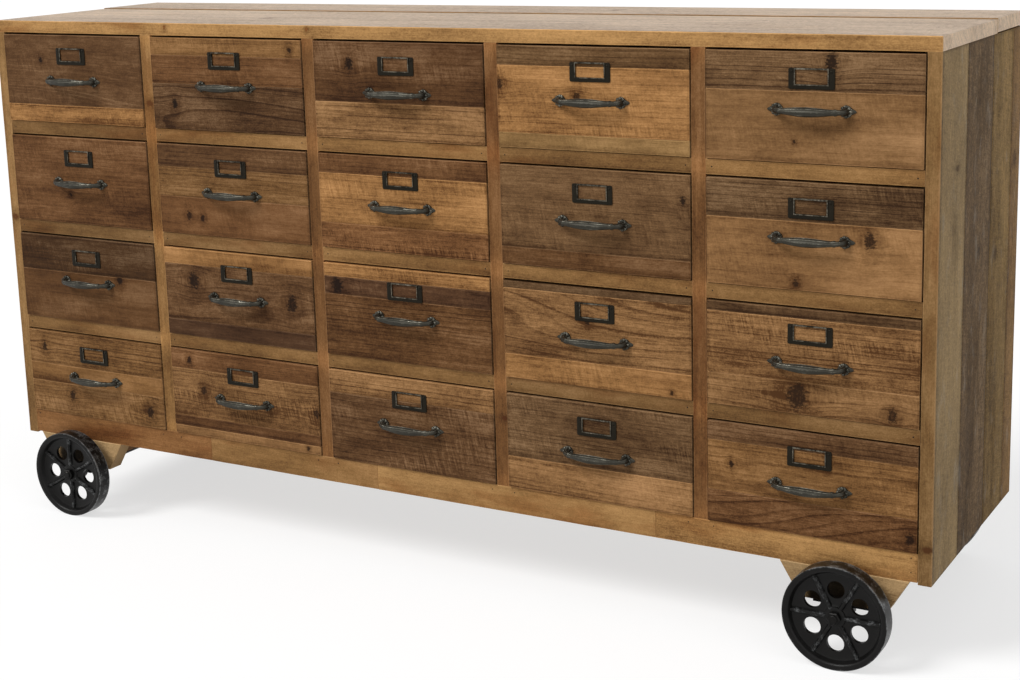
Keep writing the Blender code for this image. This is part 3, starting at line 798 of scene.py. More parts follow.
def grown_mesh(name, tree, start=None, **sizes):
    """Run a Geometry Nodes tree on a mesh, or on nothing, and keep the result as a plain mesh."""
    carrier = bpy.data.objects.new(name, start or bpy.data.meshes.new(name))
    bpy.context.scene.collection.objects.link(carrier)
    modifier = carrier.modifiers.new(name, "NODES")
    modifier.node_group = tree
    wanted = {key.replace("_", " "): value for key, value in sizes.items()}
    for item in tree.interface.items_tree:
        if item.item_type == "SOCKET" and item.in_out == "INPUT" and item.name in wanted:
            modifier[item.identifier] = wanted[item.name]
    graph = bpy.context.evaluated_depsgraph_get()
    mesh = bpy.data.meshes.new_from_object(carrier.evaluated_get(graph))
    carrier.modifiers.remove(modifier)
    bpy.data.objects.remove(carrier)
    return mesh


# Facets of a nail head or a petal, and how deep the drill for a wheel's holes goes
BALL = {"Segments": 10, "Rings": 6}
DRILL_DEPTH = 0.040


def finish_tree(n, instances, finish, out, wear, joined=None):
    """End a Geometry Nodes tree: real geometry, its wear, and its finish."""
    real = n.make("GeometryNodeRealizeInstances", {"Geometry": instances})
    whole = n.make("GeometryNodeStoreNamedAttribute",
                   {"Geometry": real["Geometry"], "Name": "wear", "Value": wear},
                   data_type="FLOAT", domain="POINT")["Geometry"]
    if joined is not None:
        join = n.add("GeometryNodeJoinGeometry")
        for part in (joined, whole):
            n.feed(join.inputs["Geometry"], part)
        whole = join.outputs["Geometry"]
    dressed = n.make("GeometryNodeSetMaterial", {"Geometry": whole, "Material": finish})
    n.feed(out["Geometry"], dressed["Geometry"])


def ring_of(n, shape, count, lead=0.0):
    """Instances of a shape evenly round the Z axis, the first turned by a share of a step."""
    points = n.make("GeometryNodePoints", {"Count": count})[0]
    index = n.add("GeometryNodeInputIndex").outputs[0]
    turn = n.times(n.math("ADD", index, lead), n.math("DIVIDE", 2 * math.pi, count))
    return n.make("GeometryNodeInstanceOnPoints", {
        "Points": points, "Instance": shape, "Rotation": n.join(0.0, 0.0, turn)})["Instances"]


@once
def nail_tree():
    """Domed heads on every point of a mesh, turned one way and a little uneven."""
    n, inside, out = node_group(
        "Nail heads", "GeometryNodeTree",
        {"Points": "Geometry", "Radius": "Float", "Height": "Float", "Facing": "Vector",
         "Finish": "Material"},
        {"Geometry": "Geometry"})
    head = n.make("GeometryNodeMeshUVSphere", BALL)
    size = n.make("GeometryNodeTransform", {
        "Geometry": head["Mesh"],
        "Scale": n.join(inside["Radius"], inside["Radius"], inside["Height"])})
    uneven = n.make("FunctionNodeRandomValue", {2: 0.85, 3: 1.15, "Seed": 5}, data_type="FLOAT")
    heads = n.make("GeometryNodeInstanceOnPoints", {
        "Points": inside["Points"], "Instance": size["Geometry"],
        "Rotation": inside["Facing"], "Scale": uneven[1]})
    finish_tree(n, heads["Instances"], inside["Finish"], out, wear=0.35)
    return n.tree


@once
def petal_tree():
    """A ring of long petals that lean out from a rosette's middle."""
    n, inside, out = node_group(
        "Petal ring", "GeometryNodeTree",
        {"Petals": "Int", "Ring": "Float", "Length": "Float", "Width": "Float", "Height": "Float",
         "Finish": "Material"},
        {"Geometry": "Geometry"})
    petal = n.make("GeometryNodeMeshUVSphere", BALL)
    size = n.make("GeometryNodeTransform", {
        "Geometry": petal["Mesh"],
        "Scale": n.join(n.times(inside["Length"], 0.5), n.times(inside["Width"], 0.5), inside["Height"]),
        "Translation": n.join(inside["Ring"], 0.0, 0.0)})
    petals = ring_of(n, size["Geometry"], inside["Petals"])
    finish_tree(n, petals, inside["Finish"], out, wear=0.50)
    return n.tree


@once
def wheel_tree():
    """Ribs and round holes in the web of a turned wheel."""
    n, inside, out = node_group(
        "Wheel ribs and holes", "GeometryNodeTree",
        {"Turned": "Geometry", "Spokes": "Int", "Hole radius": "Float", "Hole circle": "Float",
         "Rib start": "Float", "Rib end": "Float", "Rib width": "Float", "Rib rise": "Float",
         "Web": "Float", "Finish": "Material"},
        {"Geometry": "Geometry"})
    drill = n.make("GeometryNodeMeshCylinder", {
        "Vertices": 28, "Depth": DRILL_DEPTH, "Radius": inside["Hole radius"]})
    drill = n.make("GeometryNodeTransform", {
        "Geometry": drill["Mesh"], "Translation": n.join(inside["Hole circle"], 0.0, inside["Web"])})
    drills = n.make("GeometryNodeRealizeInstances", {
        "Geometry": ring_of(n, drill["Geometry"], inside["Spokes"], lead=0.5)})
    cut = n.make("GeometryNodeMeshBoolean", {"Mesh 1": inside["Turned"], "Mesh 2": drills["Geometry"]},
                 operation="DIFFERENCE", solver="EXACT")

    spine = n.make("GeometryNodeCurvePrimitiveLine", {
        "Start": n.join(inside["Rib start"], 0.0, 0.0), "End": n.join(inside["Rib end"], 0.0, 0.0)})
    fine = n.make("GeometryNodeResampleCurve", {"Curve": spine["Curve"], "Count": 9})
    along = n.times_add(n.add("GeometryNodeSplineParameter").outputs["Factor"], 2.0, -1.0)
    flare = n.times_add(n.math("POWER", n.math("ABSOLUTE", along), 4.0), 0.45, 0.80)
    waist = n.make("GeometryNodeSetCurveRadius", {"Curve": fine["Curve"], "Radius": flare})
    half_width = n.times(inside["Rib width"], 0.5)
    section = n.make("GeometryNodeCurvePrimitiveCircle", {"Resolution": 12, "Radius": half_width})
    rib = n.make("GeometryNodeCurveToMesh", {
        "Curve": waist["Curve"], "Profile Curve": section["Curve"], "Fill Caps": True})
    rib = n.make("GeometryNodeTransform", {
        "Geometry": rib["Mesh"],
        "Scale": n.join(1.0, 1.0, n.math("DIVIDE", inside["Rib rise"], half_width)),
        "Translation": n.join(0.0, 0.0, inside["Web"])})
    ribs = ring_of(n, rib["Geometry"], inside["Spokes"])
    # The ribs' wear is partly rubbed iron and partly painted highlight along them
    finish_tree(n, ribs, inside["Finish"], out, wear=0.465, joined=cut["Mesh"])
    return n.tree


def domed_heads(name, places, radius, height, facing, finish_name):
    """A mesh of domed heads, one at each place."""
    start = bpy.data.meshes.new(name)
    start.from_pydata(places, [], [])
    return grown_mesh(name, nail_tree(), start, Radius=radius, Height=height, Facing=facing,
                      Finish=finish_named(finish_name))


def nail_piece(name, places, facing):
    """Nail heads of the case at a list of places, as one piece."""
    trim = bpy.context.scene.chest_trim
    mesh = domed_heads(name, places, trim.nail_radius, trim.nail_height, facing, "dark axle steel")
    smooth_metal(mesh, angle=60.0)
    add_piece(name, mesh, "dark axle steel")


FACING_FRONT = (math.pi / 2, 0.0, 0.0)
FACING_BACK = (-math.pi / 2, 0.0, 0.0)


class CHEST_OT_top(bpy.types.Operator):
    """Lay the two pale top boards"""

    bl_idname = "chest.top"
    bl_label = "Top boards"

    SEED = 11
    SEAM = 0.0012
    STEP = 0.0015

    def execute(self, context):
        trim = context.scene.chest_trim
        pile = BoardPile(self.SEED, end_grain=1.0)
        low, high = TOP_FRONT
        seam = low.y + trim.edge_strip
        pile.lay((low.x, seam + trim.seam, low.z), high, X, "top", "bleached",
                 ((0.30, 0.55, 0.006),), trim.waver)
        rear_low, rear_high = (corner.copy() for corner in TOP_REAR)
        rear_low.z += self.STEP
        rear_high.z += self.STEP
        # The rear board's front strip is laid in a darker tone: painted shade along the step between the
        # boards
        pile.lay(rear_low, (rear_high.x, rear_low.y + self.SEAM, rear_high.z), X, "side_tan", "calm",
                 waver=trim.waver)
        rear_low.y += self.SEAM
        pile.lay(rear_low, rear_high, X, "top", "bleached", ((0.62, 0.5, 0.005),), trim.waver)
        pile.stand("top_boards", "pale top wood", ("top_front_plank", "top_rear_plank"))
        return {"FINISHED"}


class CHEST_OT_sides(bpy.types.Operator):
    """Stand the weathered boards of both side panels, with the runner strips inside"""

    bl_idname = "chest.sides"
    bl_label = "Side panels"

    # Name, side, boards and seed of each panel
    PANELS = (("left", -1, LEFT_SIDE_PLANKS, 21), ("right", 1, RIGHT_SIDE_PLANKS, 22))
    DROP = 0.0030
    SEAM = 0.0014
    KNOT = 0.005

    def execute(self, context):
        trim = context.scene.chest_trim
        for name, side, planks, seed in self.PANELS:
            pile = BoardPile(seed)
            low, high = (corner.copy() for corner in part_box(f"{name}_side_panel"))
            low.z -= self.DROP
            inner, outer = side * SIDE_FACE, side * TOP_FRONT[1].x
            near, far = sorted((inner, outer))
            start = low.y + trim.edge_strip + trim.seam
            depth = high.y - start
            for share, tone_name, figure in planks:
                end = start + share * depth
                knot = (pile.random.uniform(0.2, 0.8), pile.random.uniform(0.3, 0.7), self.KNOT)
                pile.lay((near, start, low.z), (far, end - self.SEAM, high.z), Z, tone_name, figure,
                         (knot,), trim.waver)
                start = end
            reach = sorted((inner, inner - side * (SIDE_CLEARANCE + RUNNER_BEARING)))
            for top in runner_tops():
                pile.lay((reach[0], FACE_FRAME[1].y + RUN_GAP, top - RUNNER_HEIGHT),
                         (reach[1], BACK[0].y - RUN_GAP, top), Y, "raw", "raw")
            pile.stand(f"{name}_side_boards", "weathered side wood", (f"{name}_side_panel",))
        return {"FINISHED"}


class CHEST_OT_back(bpy.types.Operator):
    """Nail the upright boards of the back panel between the sides"""

    bl_idname = "chest.back"
    bl_label = "Back panel"

    SEED = 31
    BOARDS = 13
    BOARD_TONES = ("backing", "backing", "side_tan", "raw")
    UNEVEN = 0.014
    KNOT_SIZES = (0.003, 0.007)
    NAIL_INSET = 0.022
    NAIL_SHARES = (0.25, 0.75)

    def execute(self, context):
        trim = context.scene.chest_trim
        pile = BoardPile(self.SEED)
        pick = pile.random.uniform
        low, high = BACK
        edges = [low.x + (high.x - low.x) * i / self.BOARDS for i in range(self.BOARDS + 1)]
        for i in range(1, self.BOARDS):
            edges[i] += pick(-self.UNEVEN, self.UNEVEN)
        nails = []
        for left, right in zip(edges, edges[1:]):
            knots = [(pick(0.1, 0.9), pick(0.2, 0.8), pick(*self.KNOT_SIZES))
                     for _ in range(pile.random.randint(0, 2))]
            pile.lay((left, low.y, low.z), (right - trim.seam, high.y, high.z), Z,
                     pile.random.choice(self.BOARD_TONES), "plain", knots, trim.waver)
            for share in self.NAIL_SHARES:
                x = left + (right - left) * share
                nails += [(x, high.y, z) for z in (low.z + self.NAIL_INSET, high.z - self.NAIL_INSET)]
        pile.stand("back_boards", "raw inner wood", ("back_panel",))
        nail_piece("back_nails", nails, FACING_BACK)
        return {"FINISHED"}


class CHEST_OT_inside(bpy.types.Operator):
    """Set the partitions with their runner strips, and the bottom boards"""

    bl_idname = "chest.inside"
    bl_label = "Partitions and bottom"

    PARTITION_SEED = 40
    BOTTOM_SEED = 45
    BOTTOM_BOARDS = 3

    def execute(self, context):
        trim = context.scene.chest_trim
        for index in range(1, COLUMNS):
            pile = BoardPile(self.PARTITION_SEED + index)
            low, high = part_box(f"partition_{index}")
            middle = (low.x + high.x) / 2
            half = PARTITION_THICKNESS / 2
            pile.lay((middle - half, low.y, low.z), (middle + half, high.y, high.z), Z, "raw", "raw",
                     ((0.4, 0.4, 0.008),))
            for near, far in ((low.x, middle - half), (middle + half, high.x)):
                for top in runner_tops():
                    pile.lay((near, low.y, top - RUNNER_HEIGHT), (far, high.y, top), Y, "raw", "raw")
            pile.stand(f"partition_boards_{index}", "raw inner wood", (f"partition_{index}",))
        pile = BoardPile(self.BOTTOM_SEED)
        low, high = BOTTOM
        depth = (high.y - low.y) / self.BOTTOM_BOARDS
        for i in range(self.BOTTOM_BOARDS):
            pile.lay((low.x, low.y + i * depth, low.z),
                     (high.x, low.y + (i + 1) * depth - trim.seam, high.z),
                     X, "raw", "raw", ((0.3 + 0.2 * i, 0.5, 0.009),))
        pile.stand("bottom_boards", "raw inner wood", ("bottom_panel",))
        return {"FINISHED"}


class CHEST_OT_front_frame(bpy.types.Operator):
    """Join the stiles, rails and spliced base rail of the face frame, and nail them"""

    bl_idname = "chest.front_frame"
    bl_label = "Face frame"

    GRID_SEED = 51
    BASE_SEED = 52
    STRIP_SEED = 53
    NAIL_INSET = 0.009
    END_NAILS = (0.33, 0.83)
    STILE_NAILS = 0.80
    BASE_LOOKS = (("stile", 1.30), ("rail", 1.00), ("base", 1.10), ("base", 1.47))
    RAIL_SHADES = ((0.78, 0.97, 1.04, 0.80, 1.00), (0.70, 0.74, 1.02, 1.00, 0.84),
                   (0.78, 0.88, 0.80, 0.68, 0.74))
    STILE_TONES = ("rail", "stile", "stile", "stile")
    ARRIS = 0.0004
    TOP_KNOTS = ((0.229, 0.35, 0.0030), (0.401, 0.3, 0.0026))
    TOP_SHADE = 1.36
    SIDE_SHADES = {"left": 0.82, "right": 0.63}
    SIDE_KNOTS = {"left": ((0.55, 0.5, 0.006),), "right": ((0.072, 0.35, 0.006),)}
    STILE_KNOTS = {1: ((0.834, 0.45, 0.0055),), 3: ((0.16, 0.2, 0.004),)}
    # Light along the right strip: at its middle, gained to the metre, least and most
    DOWNWARD_FADE = (0.95, 0.45, 0.82, 1.06)
    # Light of a stile between the rails, gained at a rail, and how far that reaches
    RAIL_JOINT_LIGHT = (0.96, 0.50, 0.020)

    def execute(self, context):
        trim = context.scene.chest_trim
        self.lay_edge_strips(trim)
        nails = self.lay_grid(trim) + self.lay_base_rail(trim)
        nail_piece("frame_nails", nails, FACING_FRONT)
        return {"FINISHED"}

    def darker_downward(self, place):
        """The right edge strip's tone, darker towards the floor."""
        middle, slope, least, most = self.DOWNWARD_FADE
        return min(max(middle + slope * place.x, least), most)

    def lay_edge_strips(self, trim):
        """Honey strips on the front edges of the top and of both sides."""
        pile = BoardPile(self.STRIP_SEED, end_grain=1.0)
        low, high = TOP_FRONT
        pile.lay(low, (high.x, low.y + trim.edge_strip, high.z), X, "base", "glazed", self.TOP_KNOTS,
                 trim.waver, shade=self.TOP_SHADE)
        for name, near, far in (("left", -high.x, -SIDE_FACE), ("right", SIDE_FACE, high.x)):
            foot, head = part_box(f"{name}_side_panel")
            tone_left = self.darker_downward if name == "right" else None
            pile.lay((near, foot.y, foot.z - CHEST_OT_sides.DROP),
                     (far, foot.y + trim.edge_strip, head.z), Z, "base", "glazed",
                     self.SIDE_KNOTS[name], trim.waver, tone_left=tone_left, shade=self.SIDE_SHADES[name])
        pile.stand("front_edge_strips", "honey frame wood")

    def lay_grid(self, trim):
        pile = BoardPile(self.GRID_SEED)
        low, high = FACE_FRAME
        nails = []
        joints = [(opening(row, 1)[0][1] + opening(row + 1, 1)[1][1]) / 2 for row in range(1, ROWS)]
        joints += [low.z, high.z]
        middle_height = (low.z + high.z) / 2

        def lighter_at_rails(place):
            """A stile's tone, lighter where a rail meets it."""
            between, gained, reach = self.RAIL_JOINT_LIGHT
            nearest = min(abs(place.x + middle_height - joint) for joint in joints)
            return between + gained * math.exp(-(nearest / reach) ** 2)

        for column in range(1, COLUMNS):
            left, right = stile_edges(1, column)
            pile.lay((left, low.y, low.z), (right, high.y, high.z), Z, self.STILE_TONES[column - 1],
                     "glazed", self.STILE_KNOTS.get(column, ()), arris=self.ARRIS, tone_left=lighter_at_rails)
        for row in range(1, ROWS):
            for column in range(1, COLUMNS + 1):
                (left, head), (right, _) = opening(row, column)
                foot = opening(row + 1, column)[1][1]
                left = max(left, low.x) + trim.seam * 0.5
                right = min(right, high.x) - trim.seam * 0.5
                pile.lay((left, low.y, foot), (right, high.y, head), X, "rail", "glazed",
                         arris=self.ARRIS, shade=self.RAIL_SHADES[row - 1][column - 1])
                middle = (foot + head) / 2
                nails += [(x, low.y, middle) for x in (left + self.NAIL_INSET, right - self.NAIL_INSET)]
        pile.stand("face_frame_boards", "honey frame wood", ("face_frame",))
        return nails

    def lay_base_rail(self, trim):
        pile = BoardPile(self.BASE_SEED)
        low, high = BASE_RAIL
        ends = [low.x, *BASE_RAIL_SPLICES, high.x]
        for left, right, (tone_name, shade) in zip(ends, ends[1:], self.BASE_LOOKS):
            pile.lay((left, low.y, low.z), (right - trim.seam * 0.5, high.y, high.z), X, tone_name,
                     "glazed", waver=trim.waver, shade=shade)
        pile.stand("base_rail_boards", "honey frame wood", ("base_rail",))
        tall = high.z - low.z
        nails = [(x, low.y, low.z + share * tall)
                 for x in (low.x + self.NAIL_INSET, high.x - self.NAIL_INSET) for share in self.END_NAILS]
        for column in range(1, COLUMNS):
            left, right = stile_edges(ROWS, column)
            nails += [(x, low.y, low.z + self.STILE_NAILS * tall)
                      for x in (left - self.NAIL_INSET, right + self.NAIL_INSET)]
        return nails


class CHEST_OT_drawers(bpy.types.Operator):
    """Build the drawers: planked fronts over plain boxes"""

    bl_idname = "chest.drawers"
    bl_label = "Drawers"

    FRONT_SEED = 100
    BOX_SEED = 300
    LINING = 0.005
    PROUD = 0.0005
    PLANK_ARRIS = 0.7
    HEAD_SHY = 0.0005
    SIDE_SHY = -0.0002

    def execute(self, context):
        trim = context.scene.chest_trim
        for row, column in drawers():
            node = f"drawer_r{row}_c{column}"
            low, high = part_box(node)
            self.build_front(trim, node, row, column, low, high)
            self.build_box(trim, node, row, column, low, high)
        return {"FINISHED"}

    def build_front(self, trim, node, row, column, low, high):
        pile = BoardPile(self.FRONT_SEED + 10 * row + column)
        back = DRAWER_FACE + FRONT_THICKNESS
        plank_back = back - self.LINING - trim.seam
        pile.lay((low.x + trim.arris, plank_back + trim.seam, low.z + trim.arris),
                 (high.x - trim.arris, back, high.z - trim.arris), X, "raw", "raw")
        top = high.z - self.HEAD_SHY
        left, right = low.x + self.SIDE_SHY, high.x - self.SIDE_SHY
        tall = top - low.z
        for share, tone_name, shade, figure, *knots in FRONT_PLANKS[row, column]:
            foot = top - share * tall
            proud = pile.random.uniform(0.0, self.PROUD)
            pile.lay((left, DRAWER_FACE + proud, max(foot, low.z) + trim.seam * 0.5),
                     (right, plank_back, top - trim.seam * 0.5), X, tone_name, figure, knots,
                     trim.waver, arris=trim.arris * self.PLANK_ARRIS, shade=shade)
            top = foot
        pile.stand(f"drawer_front_r{row}_c{column}", "reclaimed drawer wood", (node,), node)

    def build_box(self, trim, node, row, column, low, high):
        pile = BoardPile(self.BOX_SEED + 10 * row + column)
        start = DRAWER_FACE + FRONT_THICKNESS + trim.seam
        head = high.z - BOX_DROP
        rear = high.y - BOX_WALL
        for left in (low.x, high.x - BOX_WALL):
            pile.lay((left, start, low.z), (left + BOX_WALL, high.y, head), Y, "raw", "raw")
        inner_left = low.x + BOX_WALL + trim.seam
        inner_right = high.x - BOX_WALL - trim.seam
        pile.lay((inner_left, rear, low.z), (inner_right, high.y, head), X, "raw", "raw",
                 ((0.4, 0.5, 0.006),))
        pile.lay((inner_left, start, low.z), (inner_right, rear - trim.seam, low.z + BOX_FLOOR), X,
                 "raw", "raw")
        pile.stand(f"drawer_box_r{row}_c{column}", "raw inner wood", body=node)


def ring_solid(bm, outer, inner, back, front):
    """A flat rectangular ring: outer and inner are (left, foot, right, head), and it faces -Y."""
    loops = []
    for box_edges in (outer, inner):
        left, foot, right, head = box_edges
        corners = ((left, foot), (right, foot), (right, head), (left, head))
        for y in (back, front):
            loops.append([bm.verts.new((x, y, z)) for x, z in corners])
    outer_back, outer_front, inner_back, inner_front = loops
    for i in range(4):
        j = (i + 1) % 4
        bm.faces.new((outer_front[i], outer_front[j], inner_front[j], inner_front[i]))
        bm.faces.new((outer_back[j], outer_back[i], inner_back[i], inner_back[j]))
        bm.faces.new((outer_back[i], outer_back[j], outer_front[j], outer_front[i]))
        bm.faces.new((inner_back[j], inner_back[i], inner_front[i], inner_front[j]))


def joined_mesh(name, parts):
    """Several meshes as one, keeping their wear."""
    bm = bmesh.new()
    for part in parts:
        bm.from_mesh(part)
    return mesh_from(bm, name)


def placed_copy(mesh, matrix):
    copy = mesh.copy()
    copy.transform(matrix)
    return copy


class CHEST_OT_label_holders(bpy.types.Operator):
    """Pin a stamped label holder to each drawer front"""

    bl_idname = "chest.label_holders"
    bl_label = "Label holders"

    WIDTH = 0.064
    HEIGHT = 0.028
    DROP = 0.022
    SIDE_FLANGE = 0.0095
    FOOT_FLANGE = 0.0065
    HEAD_FLANGE = 0.002
    FLANGE_THICKNESS = 0.0011
    LIP = 0.0014
    LIP_ROOT = 0.0004
    ROUNDING = 0.0004
    CORNER = 0.0022
    CORNER_STEPS = 4
    FLANGE_WEAR = 0.28
    LIP_WEAR = 0.58
    BACK_WEAR = 0.1
    PIN_PLACES = ((-0.0275, 0.0098), (0.0275, 0.0098))

    def execute(self, context):
        shared = self.holder_mesh(context.scene.chest_trim)
        for row, column in drawers():
            low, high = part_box(f"drawer_r{row}_c{column}")
            place = ((low.x + high.x) / 2, DRAWER_FACE, high.z - self.DROP - self.HEIGHT / 2)
            mesh = placed_copy(shared, Matrix.Translation(place))
            add_piece(f"label_holder_r{row}_c{column}", mesh, "label holder iron",
                      f"drawer_r{row}_c{column}")
        return {"FINISHED"}

    def holder_mesh(self, trim):
        half_width, half_height = self.WIDTH / 2, self.HEIGHT / 2
        window = (self.SIDE_FLANGE - half_width, self.FOOT_FLANGE - half_height,
                  half_width - self.SIDE_FLANGE, half_height - self.HEAD_FLANGE)
        outer = (-half_width, -half_height, half_width, half_height)
        lip = (window[0] - self.LIP, window[1] - self.LIP, window[2] + self.LIP, half_height)
        parts = []
        for edges, back, front, wear in ((outer, 0.0, -self.FLANGE_THICKNESS, self.FLANGE_WEAR),
                                         (lip, -self.LIP_ROOT, -LABEL_THICKNESS, self.LIP_WEAR)):
            bm = bmesh.new()
            ring_solid(bm, edges, window, back, front)
            if edges is outer:
                upright = [e for e in bm.edges if abs(e.verts[0].co.x - e.verts[1].co.x) < NEAR
                           and abs(e.verts[0].co.z - e.verts[1].co.z) < NEAR
                           and abs(e.verts[0].co.x) > half_width - NEAR]
                bevel(bm, upright, self.CORNER, self.CORNER_STEPS)
            rims = [e for e in bm.edges if all(abs(v.co.y - front) < NEAR for v in e.verts)
                    and e.calc_face_angle(0.0) > SHARP]
            bevel(bm, rims, self.ROUNDING)
            bmesh.ops.recalc_face_normals(bm, faces=bm.faces)
            rubbed = [wear if v.co.y < (back + front) / 2 else self.BACK_WEAR for v in bm.verts]
            parts.append(mesh_from(bm, "label_part", rubbed))
        pins = [(x, -self.FLANGE_THICKNESS, z) for x, z in self.PIN_PLACES]
        parts.append(domed_heads("label_pins", pins, trim.pin_radius, trim.pin_height, FACING_FRONT,
                                 "label holder iron"))
        mesh = joined_mesh("label_holder", parts)
        smooth_metal(mesh)
        return mesh


class CHEST_OT_pulls(bpy.types.Operator):
    """Cast a bow pull with two rosettes for each drawer"""

    bl_idname = "chest.pulls"
    bl_label = "Bow pulls"

    CENTRES = 0.096
    BOW = 0.020
    STEPS = 56
    SIDES = 32
    BELL = 0.0026
    WAIST = 0.0031
    BELLY = 0.0016
    BEAD = 0.0009
    TALL = 0.30
    FLUTES = 8
    FLUTE_DEPTH = 0.080
    SINK = 0.0015
    # Wear of the bar's hollows and ridges, and of its upper side, which is also painted highlight
    HOLLOW_WEAR = 0.18
    RIDGE_WEAR = 0.36
    UPPER_WEAR_AND_SHEEN = 0.18
    ROSETTE_RADIUS = 0.0084
    ROSETTE_SIDES = 24
    # Section of a rosette's middle: share of the radius, height and wear
    ROSETTE = ((1.00, 0.0, 0.2), (0.96, 0.0014, 0.6), (0.62, 0.0026, 0.3), (0.50, 0.0040, 0.4),
               (0.26, 0.0050, 0.7), (0.0, 0.0054, 0.7))
    PETAL_RING = 0.72
    PETAL_RISE = 0.0024
    PETAL_LIFT = 0.0018
    LEAF_LENGTH = 0.0140
    LEAF_WIDTH = 0.0125
    LEAF_RISE = 0.0030
    LEAF_TIP = 0.0003
    LEAF_STEPS = 8
    LEAF_SIDES = 12
    LEAF_CREST = 0.0018
    LEAF_WEAR = 0.20
    CREST_WEAR = 0.25

    def execute(self, context):
        shared = self.pull_mesh(context.scene.chest_trim)
        for row, column in drawers():
            low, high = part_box(f"pull_r{row}_c{column}")
            place = ((low.x + high.x) / 2, DRAWER_FACE, (low.z + high.z) / 2)
            mesh = placed_copy(shared, Matrix.Translation(place))
            add_piece(f"bow_pull_r{row}_c{column}", mesh, "blackened pewter",
                      f"drawer_r{row}_c{column}", (f"pull_r{row}_c{column}",))
        return {"FINISHED"}

    def bar_radius(self, share):
        """Half the bar's thickness: a bell at each end, a bead, a waist and a full belly."""
        end = min(share, 1.0 - share)
        bell = self.BELL * math.exp(-(end / 0.075) ** 2)
        bead = self.BEAD * math.exp(-((end - 0.165) / 0.016) ** 2)
        return self.WAIST + bell + bead + self.BELLY * math.sin(math.pi * share) ** 2.5

    def bar_mesh(self):
        """The bowed bar, ridged along its length."""
        path = []
        for i in range(self.STEPS + 1):
            angle = math.pi * i / self.STEPS
            rise = self.BOW * math.sin(angle) ** 0.6 if 0 < i < self.STEPS else 0.0
            path.append(Vector((-self.CENTRES / 2 * math.cos(angle), -self.SINK - rise, 0.0)))
        reach = [0.0]
        for a, b in zip(path, path[1:]):
            reach.append(reach[-1] + (b - a).length)
        bm = bmesh.new()
        rings, wear = [], []
        for i, point in enumerate(path):
            ahead = path[min(i + 1, self.STEPS)] - path[max(i - 1, 0)]
            side = ahead.normalized().cross(Vector((0, 0, 1)))
            share = reach[i] / reach[-1]
            radius = self.bar_radius(share)
            tall = 1.0 + self.TALL * math.sin(math.pi * share) ** 2
            flute = self.FLUTE_DEPTH * math.sin(math.pi * share) ** 0.5
            ring = []
            for turn in turns(self.SIDES):
                ridge = math.cos(self.FLUTES * turn)
                spoke = radius * (1 + flute * ridge)
                offset = side * math.cos(turn) + Vector((0, 0, tall)) * math.sin(turn)
                ring.append(bm.verts.new(point + offset * spoke))
                # Lighter on the upper side: rubbed metal and painted highlight
                wear.append(self.HOLLOW_WEAR + self.RIDGE_WEAR * max(ridge, 0.0)
                            + self.UPPER_WEAR_AND_SHEEN * max(offset.z, 0.0))
            rings.append(ring)
        bridge(bm, rings)
        bm.faces.new(rings[0])
        bm.faces.new(rings[-1])
        bmesh.ops.recalc_face_normals(bm, faces=bm.faces)
        return mesh_from(bm, "pull_bar", wear)

    def leaf_mesh(self):
        """The pointed leaf that reaches out from a rosette, along +X."""
        bm = bmesh.new()
        rings = []
        for i in range(self.LEAF_STEPS):
            share = i / self.LEAF_STEPS
            width = self.LEAF_WIDTH / 2 * math.sqrt(1.0 - share) * (1.0 - 0.15 * share)
            rise = self.LEAF_RISE * (1.0 - share) ** 0.7 + self.LEAF_TIP
            ring = []
            for turn in turns(self.LEAF_SIDES):
                crease = 1.0 + 0.25 * (abs(math.cos(turn)) < 0.2)
                front = -math.sin(turn) * rise * crease if math.sin(turn) > 0 else 0.0
                ring.append(bm.verts.new((share * self.LEAF_LENGTH, front, width * math.cos(turn))))
            rings.append(ring)
        bridge(bm, [*rings, [bm.verts.new((self.LEAF_LENGTH, -self.LEAF_TIP, 0.0))]])
        bm.faces.new(rings[0])
        bmesh.ops.remove_doubles(bm, verts=bm.verts, dist=NEAR)
        bmesh.ops.dissolve_degenerate(bm, edges=bm.edges, dist=NEAR)
        bmesh.ops.recalc_face_normals(bm, faces=bm.faces)
        wear = [self.LEAF_WEAR + self.CREST_WEAR * (v.co.y < -self.LEAF_CREST) for v in bm.verts]
        return mesh_from(bm, "pull_leaf", wear)

    def pull_mesh(self, trim):
        petals = grown_mesh("petals", petal_tree(), Petals=trim.petals,
                            Ring=self.ROSETTE_RADIUS * self.PETAL_RING, Length=trim.petal_length,
                            Width=trim.petal_width, Height=self.PETAL_RISE,
                            Finish=finish_named("blackened pewter"))
        section = [(self.ROSETTE_RADIUS * share, height, wear) for share, height, wear in self.ROSETTE]
        dome = lathe("pull_dome", section, self.ROSETTE_SIDES, closed=False)
        leaf = self.leaf_mesh()
        parts = [self.bar_mesh()]
        lay_flat = Matrix.Rotation(math.pi / 2, 4, "X")
        for side, turn in ((-1, math.pi), (1, 0.0)):
            place = Matrix.Translation((side * self.CENTRES / 2, 0.0, 0.0))
            raised = Matrix.Translation((side * self.CENTRES / 2, -self.PETAL_LIFT, 0.0))
            parts.append(placed_copy(petals, raised @ lay_flat))
            parts.append(placed_copy(dome, place @ lay_flat))
            parts.append(placed_copy(leaf, place @ Matrix.Rotation(turn, 4, "Y")))
        mesh = joined_mesh("bow_pull", parts)
        mesh.transform(Matrix.Translation((0.0, -RUN_GAP, 0.0)))
        smooth_metal(mesh, angle=50.0)
        return mesh


